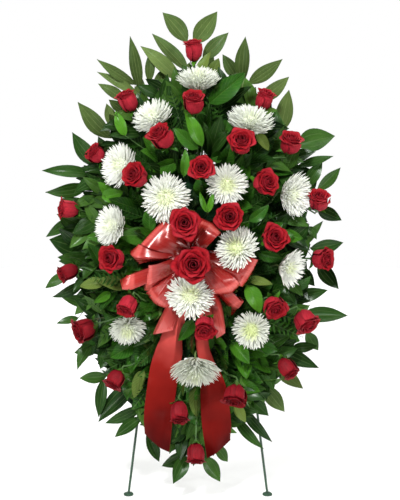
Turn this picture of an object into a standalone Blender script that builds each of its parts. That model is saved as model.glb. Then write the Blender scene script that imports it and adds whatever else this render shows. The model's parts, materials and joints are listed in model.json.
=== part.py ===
"""Standing funeral arrangement: a spray of roses, spider mums, leaves and a bow on a folding wire easel.

Everything that leans with the easel is placed in the spray's own coordinates under one leaning empty:
u runs to the right, v runs up the easel from the middle of the foam, and w runs out to the front.
Lengths are metres and +Z is up.
"""

import math

import bmesh
import bpy
from mathutils import Matrix, Vector

# Driving dimensions -----------------------------------------------------------------------------------

GAP = 0.0003  # clearance left between pieces that touch
CUT_OVERLAP = 0.002  # how far one joined or cutting shape runs into its neighbour

LEAN = math.radians(12)  # the easel's front leans back by this much
FEET_Y = -0.1583  # where the front feet stand, so that the footprint is centred on the origin
CENTRE_X = 0.0080  # sideways place of the easel, for the same reason
CENTRE_UP = 0.575  # from the floor up the easel to the middle of the foam

WIRE_R = 0.003
WIRE_SIDES = 8
FEET_HALF_SPREAD = 0.17
TOP_HALF_SPREAD = 0.045
FRONT_LEG_TOP = 0.435  # v of the upper end of the front legs
PAD_R = 0.012
PAD_H = 0.005
PAD_SIDES = 16

PIVOT_V = 0.40
REAR_LEG_ANGLE = math.radians(15)  # the rear leg's slope from the vertical when the easel stands
SLEEVE_BORE_R = 0.0035
SLEEVE_R = 0.0065
SLEEVE_LENGTH = 0.030
SLEEVE_SIDES = 16
LEG_OFFSET = SLEEVE_R + WIRE_R - 0.0015  # the rear leg's wire lies behind its hinge sleeve
FINGER = 0.026  # how far the rear leg runs on past its hinge, to meet the stop bar

FRONT_BAR_W = 2 * WIRE_R + GAP  # bars laid across the front of the legs
UPPER_BAR_V = 0.12
BAR_OVERHANG = 0.010

FOAM_HALF_WIDTH = 0.055
FOAM_HALF_HEIGHT = 0.230
FOAM_DEPTH = 0.080
TRAY_WALL = 0.003
TRAY_BACK_W = FRONT_BAR_W + WIRE_R + GAP
TRAY_RIM_W = 0.030
TRAY_HALF_WIDTH = FOAM_HALF_WIDTH + GAP + TRAY_WALL
TRAY_HALF_HEIGHT = FOAM_HALF_HEIGHT + GAP + TRAY_WALL
FOAM_BACK_W = TRAY_BACK_W + TRAY_WALL + GAP
FOAM_FRONT_W = FOAM_BACK_W + FOAM_DEPTH
HOOP_R = 0.0012
HOOP_SIDES = 6
HOOP_VS = (-0.140, -0.038, 0.105, 0.205)
HOOK_US = (-0.035, 0.035)
HOOK_WIDTH = 0.010
HOOK_THICKNESS = 0.0025
LEDGE_HALF_WIDTH = 0.035
LEDGE_REACH_W = 0.0975
LEDGE_LIP = 0.022

STEM_R = 0.0022
STEM_DEPTH = 0.025  # how far a flower's stem is pushed into the foam
SPINE_W = 0.055  # flower stems point away from a line inside the foam at this depth
SOCKET_SIDES = 8
SOCKET_MOUTH = 0.012  # how far a socket's cutter reaches out of the foam beyond the stem's way out
ROSE_SIDES = 8
MUM_SIDES = 10
MUM_SOLID = 0.88  # the solid head's share of the loose outline of a spider mum

FAN_STEM_R = 0.0016
FAN_STEM_SIDES = 5
FAN_W = 0.036  # the leaf layer behind the flowers
BLADE_STEP_W = 0.0035
BLADE_THICKNESS = 0.0014
BLADE_TILT = math.radians(7)

KNOT = (-0.012, 0.025, 0.155)
KNOT_R = 0.014
KNOT_LENGTH = 0.036
RIBBON_THICKNESS = 0.0010
PICK_R = 0.0025

# Flowers: u, v, w of the head's centre, and the head's diameter ------------------------------------------

ROSES = (
    (-0.010, 0.505, 0.080, 0.050),
    (-0.010, 0.370, 0.168, 0.054),
    (-0.168, 0.380, 0.098, 0.053),
    (0.158, 0.384, 0.090, 0.050),
    (-0.084, 0.286, 0.195, 0.060),
    (0.100, 0.272, 0.200, 0.066),
    (0.220, 0.277, 0.120, 0.056),
    (-0.243, 0.252, 0.096, 0.046),
    (0.008, 0.212, 0.212, 0.062),
    (-0.143, 0.195, 0.196, 0.059),
    (0.155, 0.180, 0.178, 0.062),
    (-0.311, 0.122, 0.094, 0.050),
    (0.288, 0.142, 0.094, 0.053),
    (-0.029, 0.085, 0.238, 0.068),
    (0.072, 0.100, 0.238, 0.066),
    (0.175, 0.050, 0.186, 0.066),
    (-0.198, 0.004, 0.176, 0.061),
    (-0.310, -0.028, 0.100, 0.048),
    (-0.010, -0.009, 0.248, 0.076),
    (0.294, 0.002, 0.110, 0.056),
    (-0.162, -0.104, 0.194, 0.052),
    (0.178, -0.107, 0.178, 0.058),
    (-0.269, -0.163, 0.116, 0.060),
    (0.253, -0.143, 0.130, 0.062),
    (0.016, -0.152, 0.208, 0.054),
    (-0.195, -0.282, 0.130, 0.048),
    (0.212, -0.254, 0.130, 0.053),
    (0.087, -0.316, 0.160, 0.056),
    (-0.044, -0.357, 0.150, 0.054),
    (-0.005, -0.460, 0.112, 0.053),
)

MUMS = (
    (0.001, 0.428, 0.122, 0.104),
    (-0.106, 0.337, 0.140, 0.100),
    (0.122, 0.327, 0.142, 0.110),
    (-0.184, 0.223, 0.138, 0.106),
    (-0.073, 0.145, 0.190, 0.114),
    (0.067, 0.175, 0.180, 0.102),
    (0.230, 0.153, 0.134, 0.109),
    (-0.203, 0.081, 0.155, 0.096),
    (0.090, 0.027, 0.196, 0.102),
    (0.221, -0.020, 0.150, 0.088),
    (-0.018, -0.082, 0.190, 0.113),
    (-0.163, -0.161, 0.148, 0.084),
    (0.124, -0.162, 0.176, 0.086),
    (-0.006, -0.255, 0.176, 0.122),
)

# How far the inner end of some stems' lines is moved, as u, v, w, so that neighbouring stems stay apart
STEM_SHIFTS = {
    "rose_01": (-0.022, 0, -0.014),
    "mum_01": (0.012, 0, 0.006),
    "rose_03": (0, 0.015, -0.016),
    "rose_04": (0, 0.015, -0.016),
    "rose_06": (0, -0.035, 0.010),
    "rose_08": (0, 0.030, -0.014),
    "mum_04": (0, -0.020, 0.008),
}

# Leaf fans: each has a root on the foam, the far end of its main stem, how far out the leaf stalks start,
# and its leaves as base u, base v, tip u, tip v and width ------------------------------------------------

FANS = {
    "leaf_fan_top": {
        "root": (-0.008, FOAM_HALF_HEIGHT),
        "end": (-0.012, 0.500),
        "leaves": (
            (-0.026, 0.530, -0.086, 0.600, 0.044),
            (-0.009, 0.527, 0.047, 0.600, 0.043),
            (-0.030, 0.465, -0.112, 0.553, 0.036),
            (0.015, 0.490, 0.073, 0.550, 0.034),
            (-0.050, 0.450, -0.139, 0.522, 0.040),
            (0.050, 0.440, 0.112, 0.536, 0.032),
            (0.080, 0.420, 0.150, 0.490, 0.030),
        ),
    },
    "leaf_fan_upper_left": {
        "root": (-FOAM_HALF_WIDTH, 0.150),
        "end": (-0.200, 0.330),
        "leaves": (
            (-0.142, 0.425, -0.161, 0.540, 0.027),
            (-0.149, 0.420, -0.243, 0.483, 0.024),
            (-0.174, 0.385, -0.246, 0.440, 0.026),
            (-0.210, 0.295, -0.288, 0.381, 0.044),
            (-0.240, 0.228, -0.302, 0.306, 0.044),
            (-0.262, 0.213, -0.376, 0.215, 0.029),
            (-0.274, 0.188, -0.367, 0.162, 0.034),
        ),
    },
    "leaf_fan_lower_left": {
        "root": (-FOAM_HALF_WIDTH, -0.060),
        "end": (-0.270, -0.030),
        "leaves": (
            (-0.298, 0.104, -0.371, 0.055, 0.024),
            (-0.270, 0.025, -0.358, 0.050, 0.054),
            (-0.320, -0.034, -0.370, -0.068, 0.022),
            (-0.275, -0.050, -0.353, -0.090, 0.026),
            (-0.243, -0.123, -0.333, -0.106, 0.029),
            (-0.289, -0.140, -0.340, -0.150, 0.018),
            (-0.255, -0.195, -0.290, -0.262, 0.030),
        ),
    },
    "leaf_fan_bottom": {
        "root": (-0.010, -FOAM_HALF_HEIGHT),
        "end": (-0.025, -0.450),
        "leaves": (
            (-0.225, -0.285, -0.288, -0.285, 0.027),
            (-0.220, -0.305, -0.242, -0.393, 0.027),
            (-0.137, -0.355, -0.224, -0.394, 0.027),
            (-0.137, -0.382, -0.200, -0.428, 0.027),
            (-0.120, -0.420, -0.094, -0.492, 0.027),
            (-0.032, -0.468, -0.086, -0.497, 0.034),
            (-0.028, -0.475, -0.058, -0.538, 0.032),
            (0.015, -0.475, 0.054, -0.538, 0.032),
        ),
    },
    "leaf_fan_lower_right": {
        "root": (FOAM_HALF_WIDTH, -0.120),
        "end": (0.215, -0.250),
        "leaves": (
            (0.060, -0.455, 0.074, -0.500, 0.027),
            (0.093, -0.375, 0.157, -0.456, 0.027),
            (0.125, -0.360, 0.181, -0.443, 0.027),
            (0.163, -0.316, 0.210, -0.367, 0.032),
            (0.179, -0.250, 0.253, -0.308, 0.029),
            (0.190, -0.215, 0.293, -0.260, 0.034),
            (0.262, -0.182, 0.292, -0.219, 0.026),
            (0.255, -0.126, 0.360, -0.132, 0.042),
            (0.222, -0.092, 0.315, -0.071, 0.032),
        ),
    },
    "leaf_fan_upper_right": {
        "root": (FOAM_HALF_WIDTH, 0.090),
        "end": (0.250, 0.170),
        "leaves": (
            (0.292, -0.018, 0.338, -0.069, 0.034),
            (0.277, 0.025, 0.352, 0.041, 0.032),
            (0.260, 0.055, 0.304, 0.095, 0.026),
            (0.300, 0.112, 0.346, 0.095, 0.027),
            (0.290, 0.170, 0.343, 0.222, 0.029),
            (0.262, 0.184, 0.301, 0.238, 0.029),
            (0.249, 0.228, 0.326, 0.250, 0.020),
            (0.248, 0.290, 0.331, 0.300, 0.056),
            (0.150, 0.395, 0.220, 0.442, 0.034),
            (0.200, 0.320, 0.222, 0.405, 0.034),
        ),
    },
}

# Bow: loops as tip u, tip v, half the loop's depth, and the ribbon's width at the tip --------------------

LOOPS = (
    (-0.116, 0.078, 0.017, 0.056),
    (-0.118, -0.028, 0.016, 0.050),
    (0.018, 0.086, 0.015, 0.048),
    (0.138, -0.036, 0.017, 0.048),
    (0.090, -0.104, 0.014, 0.044),
)

# Bow: tails as points u, v, w with the ribbon's width at each point

TAILS = (
    (
        (-0.014, 0.020, 0.150, 0.014),
        (-0.042, -0.040, 0.147, 0.030),
        (-0.060, -0.120, 0.141, 0.058),
        (-0.072, -0.200, 0.127, 0.058),
        (-0.088, -0.290, 0.108, 0.058),
        (-0.104, -0.380, 0.090, 0.058),
        (-0.118, -0.450, 0.086, 0.058),
    ),
    (
        (-0.008, 0.020, 0.150, 0.014),
        (0.024, -0.045, 0.146, 0.026),
        (0.052, -0.110, 0.136, 0.046),
        (0.053, -0.170, 0.122, 0.046),
        (0.026, -0.245, 0.104, 0.030),
        (0.033, -0.300, 0.094, 0.056),
        (0.048, -0.390, 0.084, 0.060),
        (0.056, -0.460, 0.082, 0.060),
    ),
)

# Collections, empties and small helpers ------------------------------------------------------------------


def clear_scene():
    for obj in list(bpy.data.objects):
        bpy.data.objects.remove(obj, do_unlink=True)


def new_collection(name):
    collection = bpy.data.collections.new(name)
    bpy.context.scene.collection.children.link(collection)
    return collection


def new_material(name, colour, roughness, metallic=0.0):
    material = bpy.data.materials.new(name)
    material.use_nodes = True
    shader = material.node_tree.nodes["Principled BSDF"]
    shader.inputs["Base Color"].default_value = (*colour, 1.0)
    shader.inputs["Roughness"].default_value = roughness
    shader.inputs["Metallic"].default_value = metallic
    return material


clear_scene()
PARTS = new_collection("standing_funeral_arrangement")
TOOLS = new_collection("joining_and_cutting_shapes")

MATERIALS = {
    "easel_paint": new_material("easel_paint", (0.03, 0.10, 0.05), 0.35, 0.3),
    "foam": new_material("foam", (0.06, 0.22, 0.09), 0.9),
    "cage_plastic": new_material("cage_plastic", (0.04, 0.16, 0.07), 0.5),
    "rose_petals": new_material("rose_petals", (0.55, 0.01, 0.03), 0.6),
    "mum_petals": new_material("mum_petals", (0.88, 0.88, 0.78), 0.6),
    "leaves": new_material("leaves", (0.06, 0.20, 0.05), 0.35),
    "ribbon_satin": new_material("ribbon_satin", (0.65, 0.05, 0.05), 0.3),
}


def local(u, v, w):
    """A point of the spray in the leaning empty's coordinates."""
    return Vector((u, -w, v + CENTRE_UP))


def add_leaning_empty():
    empty = bpy.data.objects.new("leaning_easel", None)
    empty.location = (CENTRE_X, FEET_Y, 0)
    empty.rotation_euler = (-LEAN, 0, 0)
    PARTS.objects.link(empty)
    bpy.context.view_layer.update()
    return empty


EASEL = add_leaning_empty()


def smooth_sharp(mesh, degrees=40):
    mesh.shade_smooth()
    mesh.set_sharp_from_angle(angle=math.radians(degrees))


def add_object(name, mesh, material, parent=EASEL, matrix=None):
    mesh.materials.append(MATERIALS[material])
    smooth_sharp(mesh)
    obj = bpy.data.objects.new(name, mesh)
    PARTS.objects.link(obj)
    obj.parent = parent
    if matrix is not None:
        obj.matrix_local = matrix
    return obj


def as_tool(obj):
    """Moves a shape that only cuts or joins another to the tools' collection."""
    PARTS.objects.unlink(obj)
    TOOLS.objects.link(obj)
    obj.hide_render = True
    obj.display_type = "WIRE"
    return obj


def boolean(obj, tools, operation):
    """Cuts or joins an object with a list of shapes, all in one step."""
    group = bpy.data.collections.new(obj.name + "_" + operation.lower())
    TOOLS.children.link(group)
    for tool in tools:
        TOOLS.objects.unlink(tool)
        group.objects.link(tool)
    modifier = obj.modifiers.new(operation.lower(), "BOOLEAN")
    modifier.operation = operation
    modifier.operand_type = "COLLECTION"
    modifier.collection = group
    modifier.solver = "EXACT"


def place_along(start, end):
    """A matrix whose origin is start and whose Z axis points at end."""
    direction = (end - start).normalized()
    rotation = direction.to_track_quat("Z", "Y").to_matrix().to_4x4()
    return Matrix.Translation(start) @ rotation


def rod(name, start, end, radius, sides, material, parent=EASEL):
    mesh = bpy.data.meshes.new(name)
    form = bmesh.new()
    length = (end - start).length
    lift = Matrix.Translation((0, 0, length / 2))
    bmesh.ops.create_cone(form, cap_ends=True, segments=sides, radius1=radius, radius2=radius,
                          depth=length, matrix=lift)
    form.to_mesh(mesh)
    form.free()
    return add_object(name, mesh, material, parent, place_along(start, end))


def box(name, low, high, material, parent=EASEL):
    mesh = bpy.data.meshes.new(name)
    form = bmesh.new()
    size = [b - a for a, b in zip(low, high)]
    middle = [(a + b) / 2 for a, b in zip(low, high)]
    bmesh.ops.create_cube(form, matrix=Matrix.Diagonal((*size, 1)))
    form.to_mesh(mesh)
    form.free()
    return add_object(name, mesh, material, parent, Matrix.Translation(middle))


def spray_box(name, low, high, material):
    """A box given by its low and high u, v and w."""
    a = local(*low)
    b = local(*high)
    return box(name, [min(p) for p in zip(a, b)], [max(p) for p in zip(a, b)], material)


def turned(name, profile, sides, material, matrix, parent=EASEL):
    """A solid of revolution from radii and heights listed from the top down."""
    mesh = bpy.data.meshes.new(name)
    points = [(radius, 0, height) for radius, height in profile]
    mesh.from_pydata(points, [(i, i + 1) for i in range(len(points) - 1)], [])
    obj = add_object(name, mesh, material, parent, matrix)
    screw = obj.modifiers.new("turn", "SCREW")
    screw.steps = sides
    screw.render_steps = sides
    screw.use_merge_vertices = True
    screw.merge_threshold = 0.0001
    screw.use_smooth_shade = True
    return obj


def wire(name, points, radius, material, parent=EASEL):
    """A bent wire of round section with filled ends, made into a mesh."""
    curve = bpy.data.curves.new(name, "CURVE")
    curve.dimensions = "3D"
    curve.bevel_depth = radius
    curve.bevel_resolution = 1
    curve.use_fill_caps = True
    spline = curve.splines.new("POLY")
    spline.points.add(len(points) - 1)
    for point, place in zip(spline.points, points):
        point.co = (*place, 1)
    guide = bpy.data.objects.new(name, curve)
    return mesh_from_curve(guide, material, parent)


def outline(name, points, thickness, material, matrix, parent=EASEL):
    """A flat closed outline with a thickness, made into a mesh."""
    curve = bpy.data.curves.new(name, "CURVE")
    curve.dimensions = "2D"
    curve.fill_mode = "BOTH"
    curve.extrude = thickness / 2
    spline = curve.splines.new("POLY")
    spline.points.add(len(points) - 1)
    for point, place in zip(spline.points, points):
        point.co = (*place, 0, 1)
    spline.use_cyclic_u = True
    guide = bpy.data.objects.new(name, curve)
    obj = mesh_from_curve(guide, material, parent)
    obj.matrix_local = matrix
    return obj


def mesh_from_curve(guide, material, parent):
    PARTS.objects.link(guide)
    bpy.context.view_layer.update()
    evaluated = guide.evaluated_get(bpy.context.evaluated_depsgraph_get())
    mesh = bpy.data.meshes.new_from_object(evaluated)
    name = guide.name
    bpy.data.objects.remove(guide, do_unlink=True)
    form = bmesh.new()
    form.from_mesh(mesh)
    bmesh.ops.remove_doubles(form, verts=form.verts, dist=0.00001)
    bmesh.ops.recalc_face_normals(form, faces=form.faces)
    form.to_mesh(mesh)
    form.free()
    mesh.materials.clear()
    return add_object(name, mesh, material, parent)


# Easel ---------------------------------------------------------------------------------------------------


def front_leg_u(v):
    """Half the distance between the front legs at a height v."""
    up = (v + CENTRE_UP) / (FRONT_LEG_TOP + CENTRE_UP)
    return FEET_HALF_SPREAD + (TOP_HALF_SPREAD - FEET_HALF_SPREAD) * up


def add_foot_pad(name, place):
    matrix = Matrix.Translation(place)
    profile = ((0, PAD_H), (PAD_R * 0.8, PAD_H), (PAD_R, PAD_H * 0.6), (PAD_R, 0), (0, 0))
    return as_tool(turned(name, profile, PAD_SIDES, "easel_paint", matrix, None))


def add_front_leg(name, side):
    foot = local(side * FEET_HALF_SPREAD, -CENTRE_UP, 0) + Vector((0, 0, PAD_H / 2))
    top = local(side * TOP_HALF_SPREAD, FRONT_LEG_TOP, 0)
    leg = rod(name, foot, top, WIRE_R, WIRE_SIDES, "easel_paint")
    pad = add_foot_pad(name + "_pad", Vector((CENTRE_X + side * FEET_HALF_SPREAD, FEET_Y, 0)))
    boolean(leg, [pad], "UNION")
    return leg


def add_crossbar(name, v, w, half_length):
    return rod(name, local(-half_length, v, w), local(half_length, v, w), WIRE_R, WIRE_SIDES, "easel_paint")


def add_pivot_bar():
    slope = (FEET_HALF_SPREAD - TOP_HALF_SPREAD) / (FRONT_LEG_TOP + CENTRE_UP)
    clear = WIRE_R * (math.hypot(1, slope) + slope) + GAP
    add_crossbar("easel_pivot_bar", PIVOT_V, 0, front_leg_u(PIVOT_V) - clear)


def stop_bar_v():
    """The height at which a bar on the front of the legs just meets the rear leg's finger."""
    opening = LEAN + REAR_LEG_ANGLE
    finger_w = FRONT_BAR_W - (2 * WIRE_R + GAP) / math.cos(opening)
    return PIVOT_V + (finger_w + LEG_OFFSET / math.cos(opening)) / math.tan(opening)


def add_front_bars():
    stop_v = stop_bar_v()
    add_crossbar("easel_stop_bar", stop_v, FRONT_BAR_W, front_leg_u(stop_v) + BAR_OVERHANG)
    add_crossbar("easel_upper_bar", UPPER_BAR_V, FRONT_BAR_W, front_leg_u(UPPER_BAR_V) + BAR_OVERHANG)


def add_ledge():
    """A bar across the legs with two arms under the tray, turned up at their ends."""
    v = -TRAY_HALF_HEIGHT - GAP - WIRE_R
    half_length = front_leg_u(v) + BAR_OVERHANG
    ledge = rod("easel_ledge", local(-half_length, v, FRONT_BAR_W), local(half_length, v, FRONT_BAR_W),
                WIRE_R, WIRE_SIDES, "easel_paint")
    arms = []
    for side in (-1, 1):
        u = side * LEDGE_HALF_WIDTH
        path = (local(u, v + 0.0004, FRONT_BAR_W), local(u, v + 0.0004, LEDGE_REACH_W),
                local(u, v + LEDGE_LIP, LEDGE_REACH_W))
        arms.append(as_tool(wire("ledge_arm", path, WIRE_R - 0.0004, "easel_paint")))
    boolean(ledge, arms, "UNION")


def add_rear_leg():
    """The rear leg turns on a sleeve round the pivot bar. Its origin is on the bar's axis."""
    pivot = EASEL.matrix_world @ local(0, PIVOT_V, 0)
    down = Vector((0, math.sin(REAR_LEG_ANGLE), -math.cos(REAR_LEG_ANGLE)))
    behind = Vector((0, math.cos(REAR_LEG_ANGLE), math.sin(REAR_LEG_ANGLE))) * LEG_OFFSET
    reach = (pivot.z + behind.z - PAD_H / 2) / math.cos(REAR_LEG_ANGLE)
    half = SLEEVE_LENGTH / 2
    profile = ((SLEEVE_BORE_R, half), (SLEEVE_R, half), (SLEEVE_R, -half), (SLEEVE_BORE_R, -half),
               (SLEEVE_BORE_R, half))
    across = Matrix.Rotation(math.pi / 2, 4, "Y")
    sleeve = turned("easel_rear_leg", profile, SLEEVE_SIDES, "easel_paint",
                    Matrix.Translation(pivot) @ across, None)
    foot = pivot + behind + down * reach
    leg = as_tool(rod("rear_leg_wire", pivot + behind - down * FINGER, foot, WIRE_R, WIRE_SIDES,
                      "easel_paint", None))
    pad = add_foot_pad("rear_leg_pad", Vector((foot.x, foot.y, 0)))
    boolean(sleeve, [leg, pad], "UNION")


# Foam and its cage ---------------------------------------------------------------------------------------


def add_cage():
    """A shallow plastic tray for the foam, with wire hoops over its front and two hooks behind."""
    tray = spray_box("foam_cage", (-TRAY_HALF_WIDTH, -TRAY_HALF_HEIGHT, TRAY_BACK_W),
                     (TRAY_HALF_WIDTH, TRAY_HALF_HEIGHT, TRAY_RIM_W), "cage_plastic")
    inner_width = TRAY_HALF_WIDTH - TRAY_WALL
    inner_height = TRAY_HALF_HEIGHT - TRAY_WALL
    hollow = spray_box("tray_hollow", (-inner_width, -inner_height, TRAY_BACK_W + TRAY_WALL),
                       (inner_width, inner_height, TRAY_RIM_W + CUT_OVERLAP), "cage_plastic")
    boolean(tray, [as_tool(hollow)], "DIFFERENCE")
    added = [add_hoop(v) for v in HOOP_VS] + [add_hook(u) for u in HOOK_US]
    boolean(tray, added, "UNION")


def add_hoop(v):
    side_u = TRAY_HALF_WIDTH - TRAY_WALL / 2
    low_w = TRAY_RIM_W - 0.008
    front_w = FOAM_FRONT_W + HOOP_R + 0.0006
    path = (local(-side_u, v, low_w), local(-side_u, v, front_w), local(side_u, v, front_w),
            local(side_u, v, low_w))
    return as_tool(wire("cage_hoop", path, HOOP_R, "cage_plastic"))


def add_hook(u):
    """A hook on the tray's back that hangs over the upper bar."""
    over_v = UPPER_BAR_V + WIRE_R + GAP
    back_w = FRONT_BAR_W - WIRE_R - GAP - HOOK_THICKNESS
    half = HOOK_WIDTH / 2
    top = spray_box("hook_top", (u - half, over_v, back_w),
                    (u + half, over_v + HOOK_THICKNESS, TRAY_BACK_W + TRAY_WALL / 2), "cage_plastic")
    lip = spray_box("hook_lip", (u - half, UPPER_BAR_V - WIRE_R, back_w),
                    (u + half, over_v + HOOK_THICKNESS / 2, back_w + HOOK_THICKNESS), "cage_plastic")
    boolean(top, [as_tool(lip)], "UNION")
    return as_tool(top)


def leaves_foam_at(inside, direction):
    """How far along a direction a line from a point inside the foam comes out of it."""
    lows = (-FOAM_HALF_WIDTH, -FOAM_HALF_HEIGHT, FOAM_BACK_W)
    highs = (FOAM_HALF_WIDTH, FOAM_HALF_HEIGHT, FOAM_FRONT_W)
    distances = []
    for place, step, low, high in zip(inside, direction, lows, highs):
        if abs(step) > 1e-6:
            distances.append(((high if step > 0 else low) - place) / step)
    return min(distances)


def clamp(value, limit):
    return max(-limit, min(limit, value))


def spine_point(name, head):
    """The point inside the foam that a flower's stem points away from.

    Flowers near the middle stand almost straight out, and those at the rim fan out from the foam's ends.
    """
    middle = max(0, min(1, (head.z - 0.10) / 0.12))
    u = clamp(head.x * (0.2 + 0.4 * middle), 0.045)
    v = clamp(head.y * (0.5 + 0.3 * middle), 0.205)
    return Vector((u, v, SPINE_W)) + Vector(STEM_SHIFTS.get(name, (0, 0, 0)))


def stem_of(name, flower):
    """Root end of a flower's stem inside the foam, and the unit direction to its head, as u, v, w."""
    head = Vector(flower[:3])
    inside = spine_point(name, head)
    direction = (head - inside).normalized()
    return inside + direction * (leaves_foam_at(inside, direction) - STEM_DEPTH), direction


def to_local_direction(direction):
    return Vector((direction.x, -direction.z, direction.y))


def flower_matrix(name, flower):
    """Places a flower's head at its centre with Z along its stem, pointing out."""
    head = local(*flower[:3])
    direction = to_local_direction(stem_of(name, flower)[1])
    return place_along(head, head + direction)


def add_foam(flowers):
    foam = spray_box("foam_block", (-FOAM_HALF_WIDTH, -FOAM_HALF_HEIGHT, FOAM_BACK_W),
                     (FOAM_HALF_WIDTH, FOAM_HALF_HEIGHT, FOAM_FRONT_W), "foam")
    sockets = [add_socket(*stem_of(name, flower), STEM_R) for name, flower in flowers.items()]
    sockets += [add_socket(*fan_stem(fan), FAN_STEM_R) for fan in FANS.values()]
    sockets.append(add_socket(pick_root(), Vector((0, 0, 1)), PICK_R))
    boolean(foam, sockets, "DIFFERENCE")


def add_socket(root, direction, stem_radius):
    """The blind hole that a stem is pushed into, a little wider and deeper than the stem."""
    bottom = local(*(root - direction * GAP))
    top = local(*(root + direction * (STEM_DEPTH + SOCKET_MOUTH)))
    return as_tool(rod("stem_socket", bottom, top, stem_radius + GAP * 1.5, SOCKET_SIDES, "foam"))


# Flowers -------------------------------------------------------------------------------------------------


def stem_length(name, flower):
    root, _ = stem_of(name, flower)
    return (Vector(flower[:3]) - root).length


def add_rose(name, flower):
    r = flower[3] / 2
    length = stem_length(name, flower)
    profile = ((0, 0.75 * r), (0.62 * r, 0.85 * r), (0.96 * r, 0.40 * r), (0.90 * r, -0.35 * r),
               (0.45 * r, -0.95 * r), (0.14 * r, -1.25 * r), (STEM_R, -1.45 * r), (STEM_R, -length),
               (0, -length))
    turned(name, profile, ROSE_SIDES, "rose_petals", flower_matrix(name, flower))


def add_mum(name, flower):
    r = flower[3] / 2 * MUM_SOLID
    length = stem_length(name, flower)
    profile = ((0, 0.50 * r), (0.60 * r, 0.42 * r), (r, 0.08 * r), (0.90 * r, -0.14 * r),
               (0.22 * r, -0.36 * r), (STEM_R, -0.55 * r), (STEM_R, -length), (0, -length))
    turned(name, profile, MUM_SIDES, "mum_petals", flower_matrix(name, flower))


def numbered(kind, flowers):
    return {f"{kind}_{number:02d}": flower for number, flower in enumerate(flowers, 1)}


# Leaf fans -----------------------------------------------------------------------------------------------


def fan_stem(fan):
    """Root end of a fan's main stem inside the foam, and its unit direction, as u, v, w."""
    exit_point = Vector((*fan["root"], FAN_W))
    end = Vector((*fan["end"], FAN_W))
    direction = (end - exit_point).normalized()
    return exit_point - direction * STEM_DEPTH, direction


def stalk_start(fan, base):
    """Where on the fan's main stem a leaf's stalk branches off: a little back from the nearest point."""
    start = Vector(fan["root"])
    along = Vector(fan["end"]) - start
    nearest = (base - start).dot(along) / along.length_squared
    return start + along * max(0.06, min(0.97, nearest * 0.75 - 0.05))


def blade_outline(length, width):
    """Half-widths of a pointed oval leaf at a few stations from base to tip."""
    stations = ((0.0, 0.12), (0.18, 0.72), (0.45, 1.0), (0.78, 0.60), (1.0, 0.03))
    right = [(length * along, width / 2 * half) for along, half in stations]
    left = [(x, -y) for x, y in reversed(right)]
    return right + left


def add_blade(base, tip, width, w, tilt):
    start = local(base.x, base.y, w)
    end = local(tip.x, tip.y, w)
    x_axis = (end - start).normalized()
    normal = Vector((0, -1, 0))
    y_axis = normal.cross(x_axis)
    facing = Matrix((x_axis, y_axis, normal)).transposed().to_4x4()
    matrix = Matrix.Translation(start) @ facing @ Matrix.Rotation(tilt, 4, "X")
    points = blade_outline((end - start).length, width)
    return as_tool(outline("leaf_blade", points, BLADE_THICKNESS, "leaves", matrix))


def add_fan(name, fan):
    root, _ = fan_stem(fan)
    end = Vector(fan["end"])
    stem = rod(name, local(*root), local(end.x, end.y, FAN_W), FAN_STEM_R, FAN_STEM_SIDES, "leaves")
    pieces = []
    for number, (base_u, base_v, tip_u, tip_v, width) in enumerate(fan["leaves"]):
        base = Vector((base_u, base_v))
        tip = Vector((tip_u, tip_v))
        w = FAN_W + BLADE_STEP_W * ((number % 3) - 1)
        tilt = BLADE_TILT if number % 2 else -BLADE_TILT
        fork = stalk_start(fan, base)
        into_blade = base + (tip - base) * 0.35
        stalk = rod("leaf_stalk", local(fork.x, fork.y, FAN_W), local(into_blade.x, into_blade.y, w),
                    FAN_STEM_R * 0.85, FAN_STEM_SIDES, "leaves")
        pieces.append(as_tool(stalk))
        pieces.append(add_blade(base, tip, width, w, tilt))
    boolean(stem, pieces, "UNION")


# Bow -----------------------------------------------------------------------------------------------------


def ribbon_strip(name, points, acrosses, widths):
    """A ribbon through points, its width along the direction given at each point."""
    mesh = bpy.data.meshes.new(name)
    vertices = []
    for point, across, width in zip(points, acrosses, widths):
        half = across.normalized() * width / 2
        vertices += [local(*(point - half)), local(*(point + half))]
    faces = [(i, i + 1, i + 3, i + 2) for i in range(0, len(vertices) - 2, 2)]
    mesh.from_pydata(vertices, [], faces)
    obj = add_object(name, mesh, "ribbon_satin")
    thicken = obj.modifiers.new("thickness", "SOLIDIFY")
    thicken.thickness = RIBBON_THICKNESS
    thicken.offset = 0
    return as_tool(obj)


def add_loop(tip_u, tip_v, half_depth, width):
    """A ribbon that goes out from the knot, turns over and comes back above itself."""
    turns = ((0.02, -0.25), (0.35, -0.75), (0.72, -1.0), (0.95, -0.62), (1.0, 0.0), (0.95, 0.62),
             (0.72, 1.0), (0.35, 0.75), (0.02, 0.25))
    knot = Vector(KNOT)
    reach = Vector((tip_u, tip_v, KNOT[2])) - knot
    across = Vector((-reach.y, reach.x, 0))
    points = [knot + reach * out + Vector((0, 0, half_depth * up)) for out, up in turns]
    widths = [0.016 + (width - 0.016) * min(1, out * 1.25) ** 0.9 for out, _ in turns]
    return ribbon_strip("bow_loop", points, [across] * len(points), widths)


def add_tail(stations):
    points = [Vector(station[:3]) for station in stations]
    acrosses = []
    for i, _ in enumerate(points):
        along = points[min(i + 1, len(points) - 1)] - points[max(i - 1, 0)]
        acrosses.append(Vector((-along.y, along.x, 0)))
    return ribbon_strip("bow_tail", points, acrosses, [station[3] for station in stations])


def pick_root():
    """The inner end of the pick that holds the bow in the foam, as u, v, w."""
    return Vector((KNOT[0], KNOT[1], FOAM_FRONT_W - STEM_DEPTH))


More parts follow.
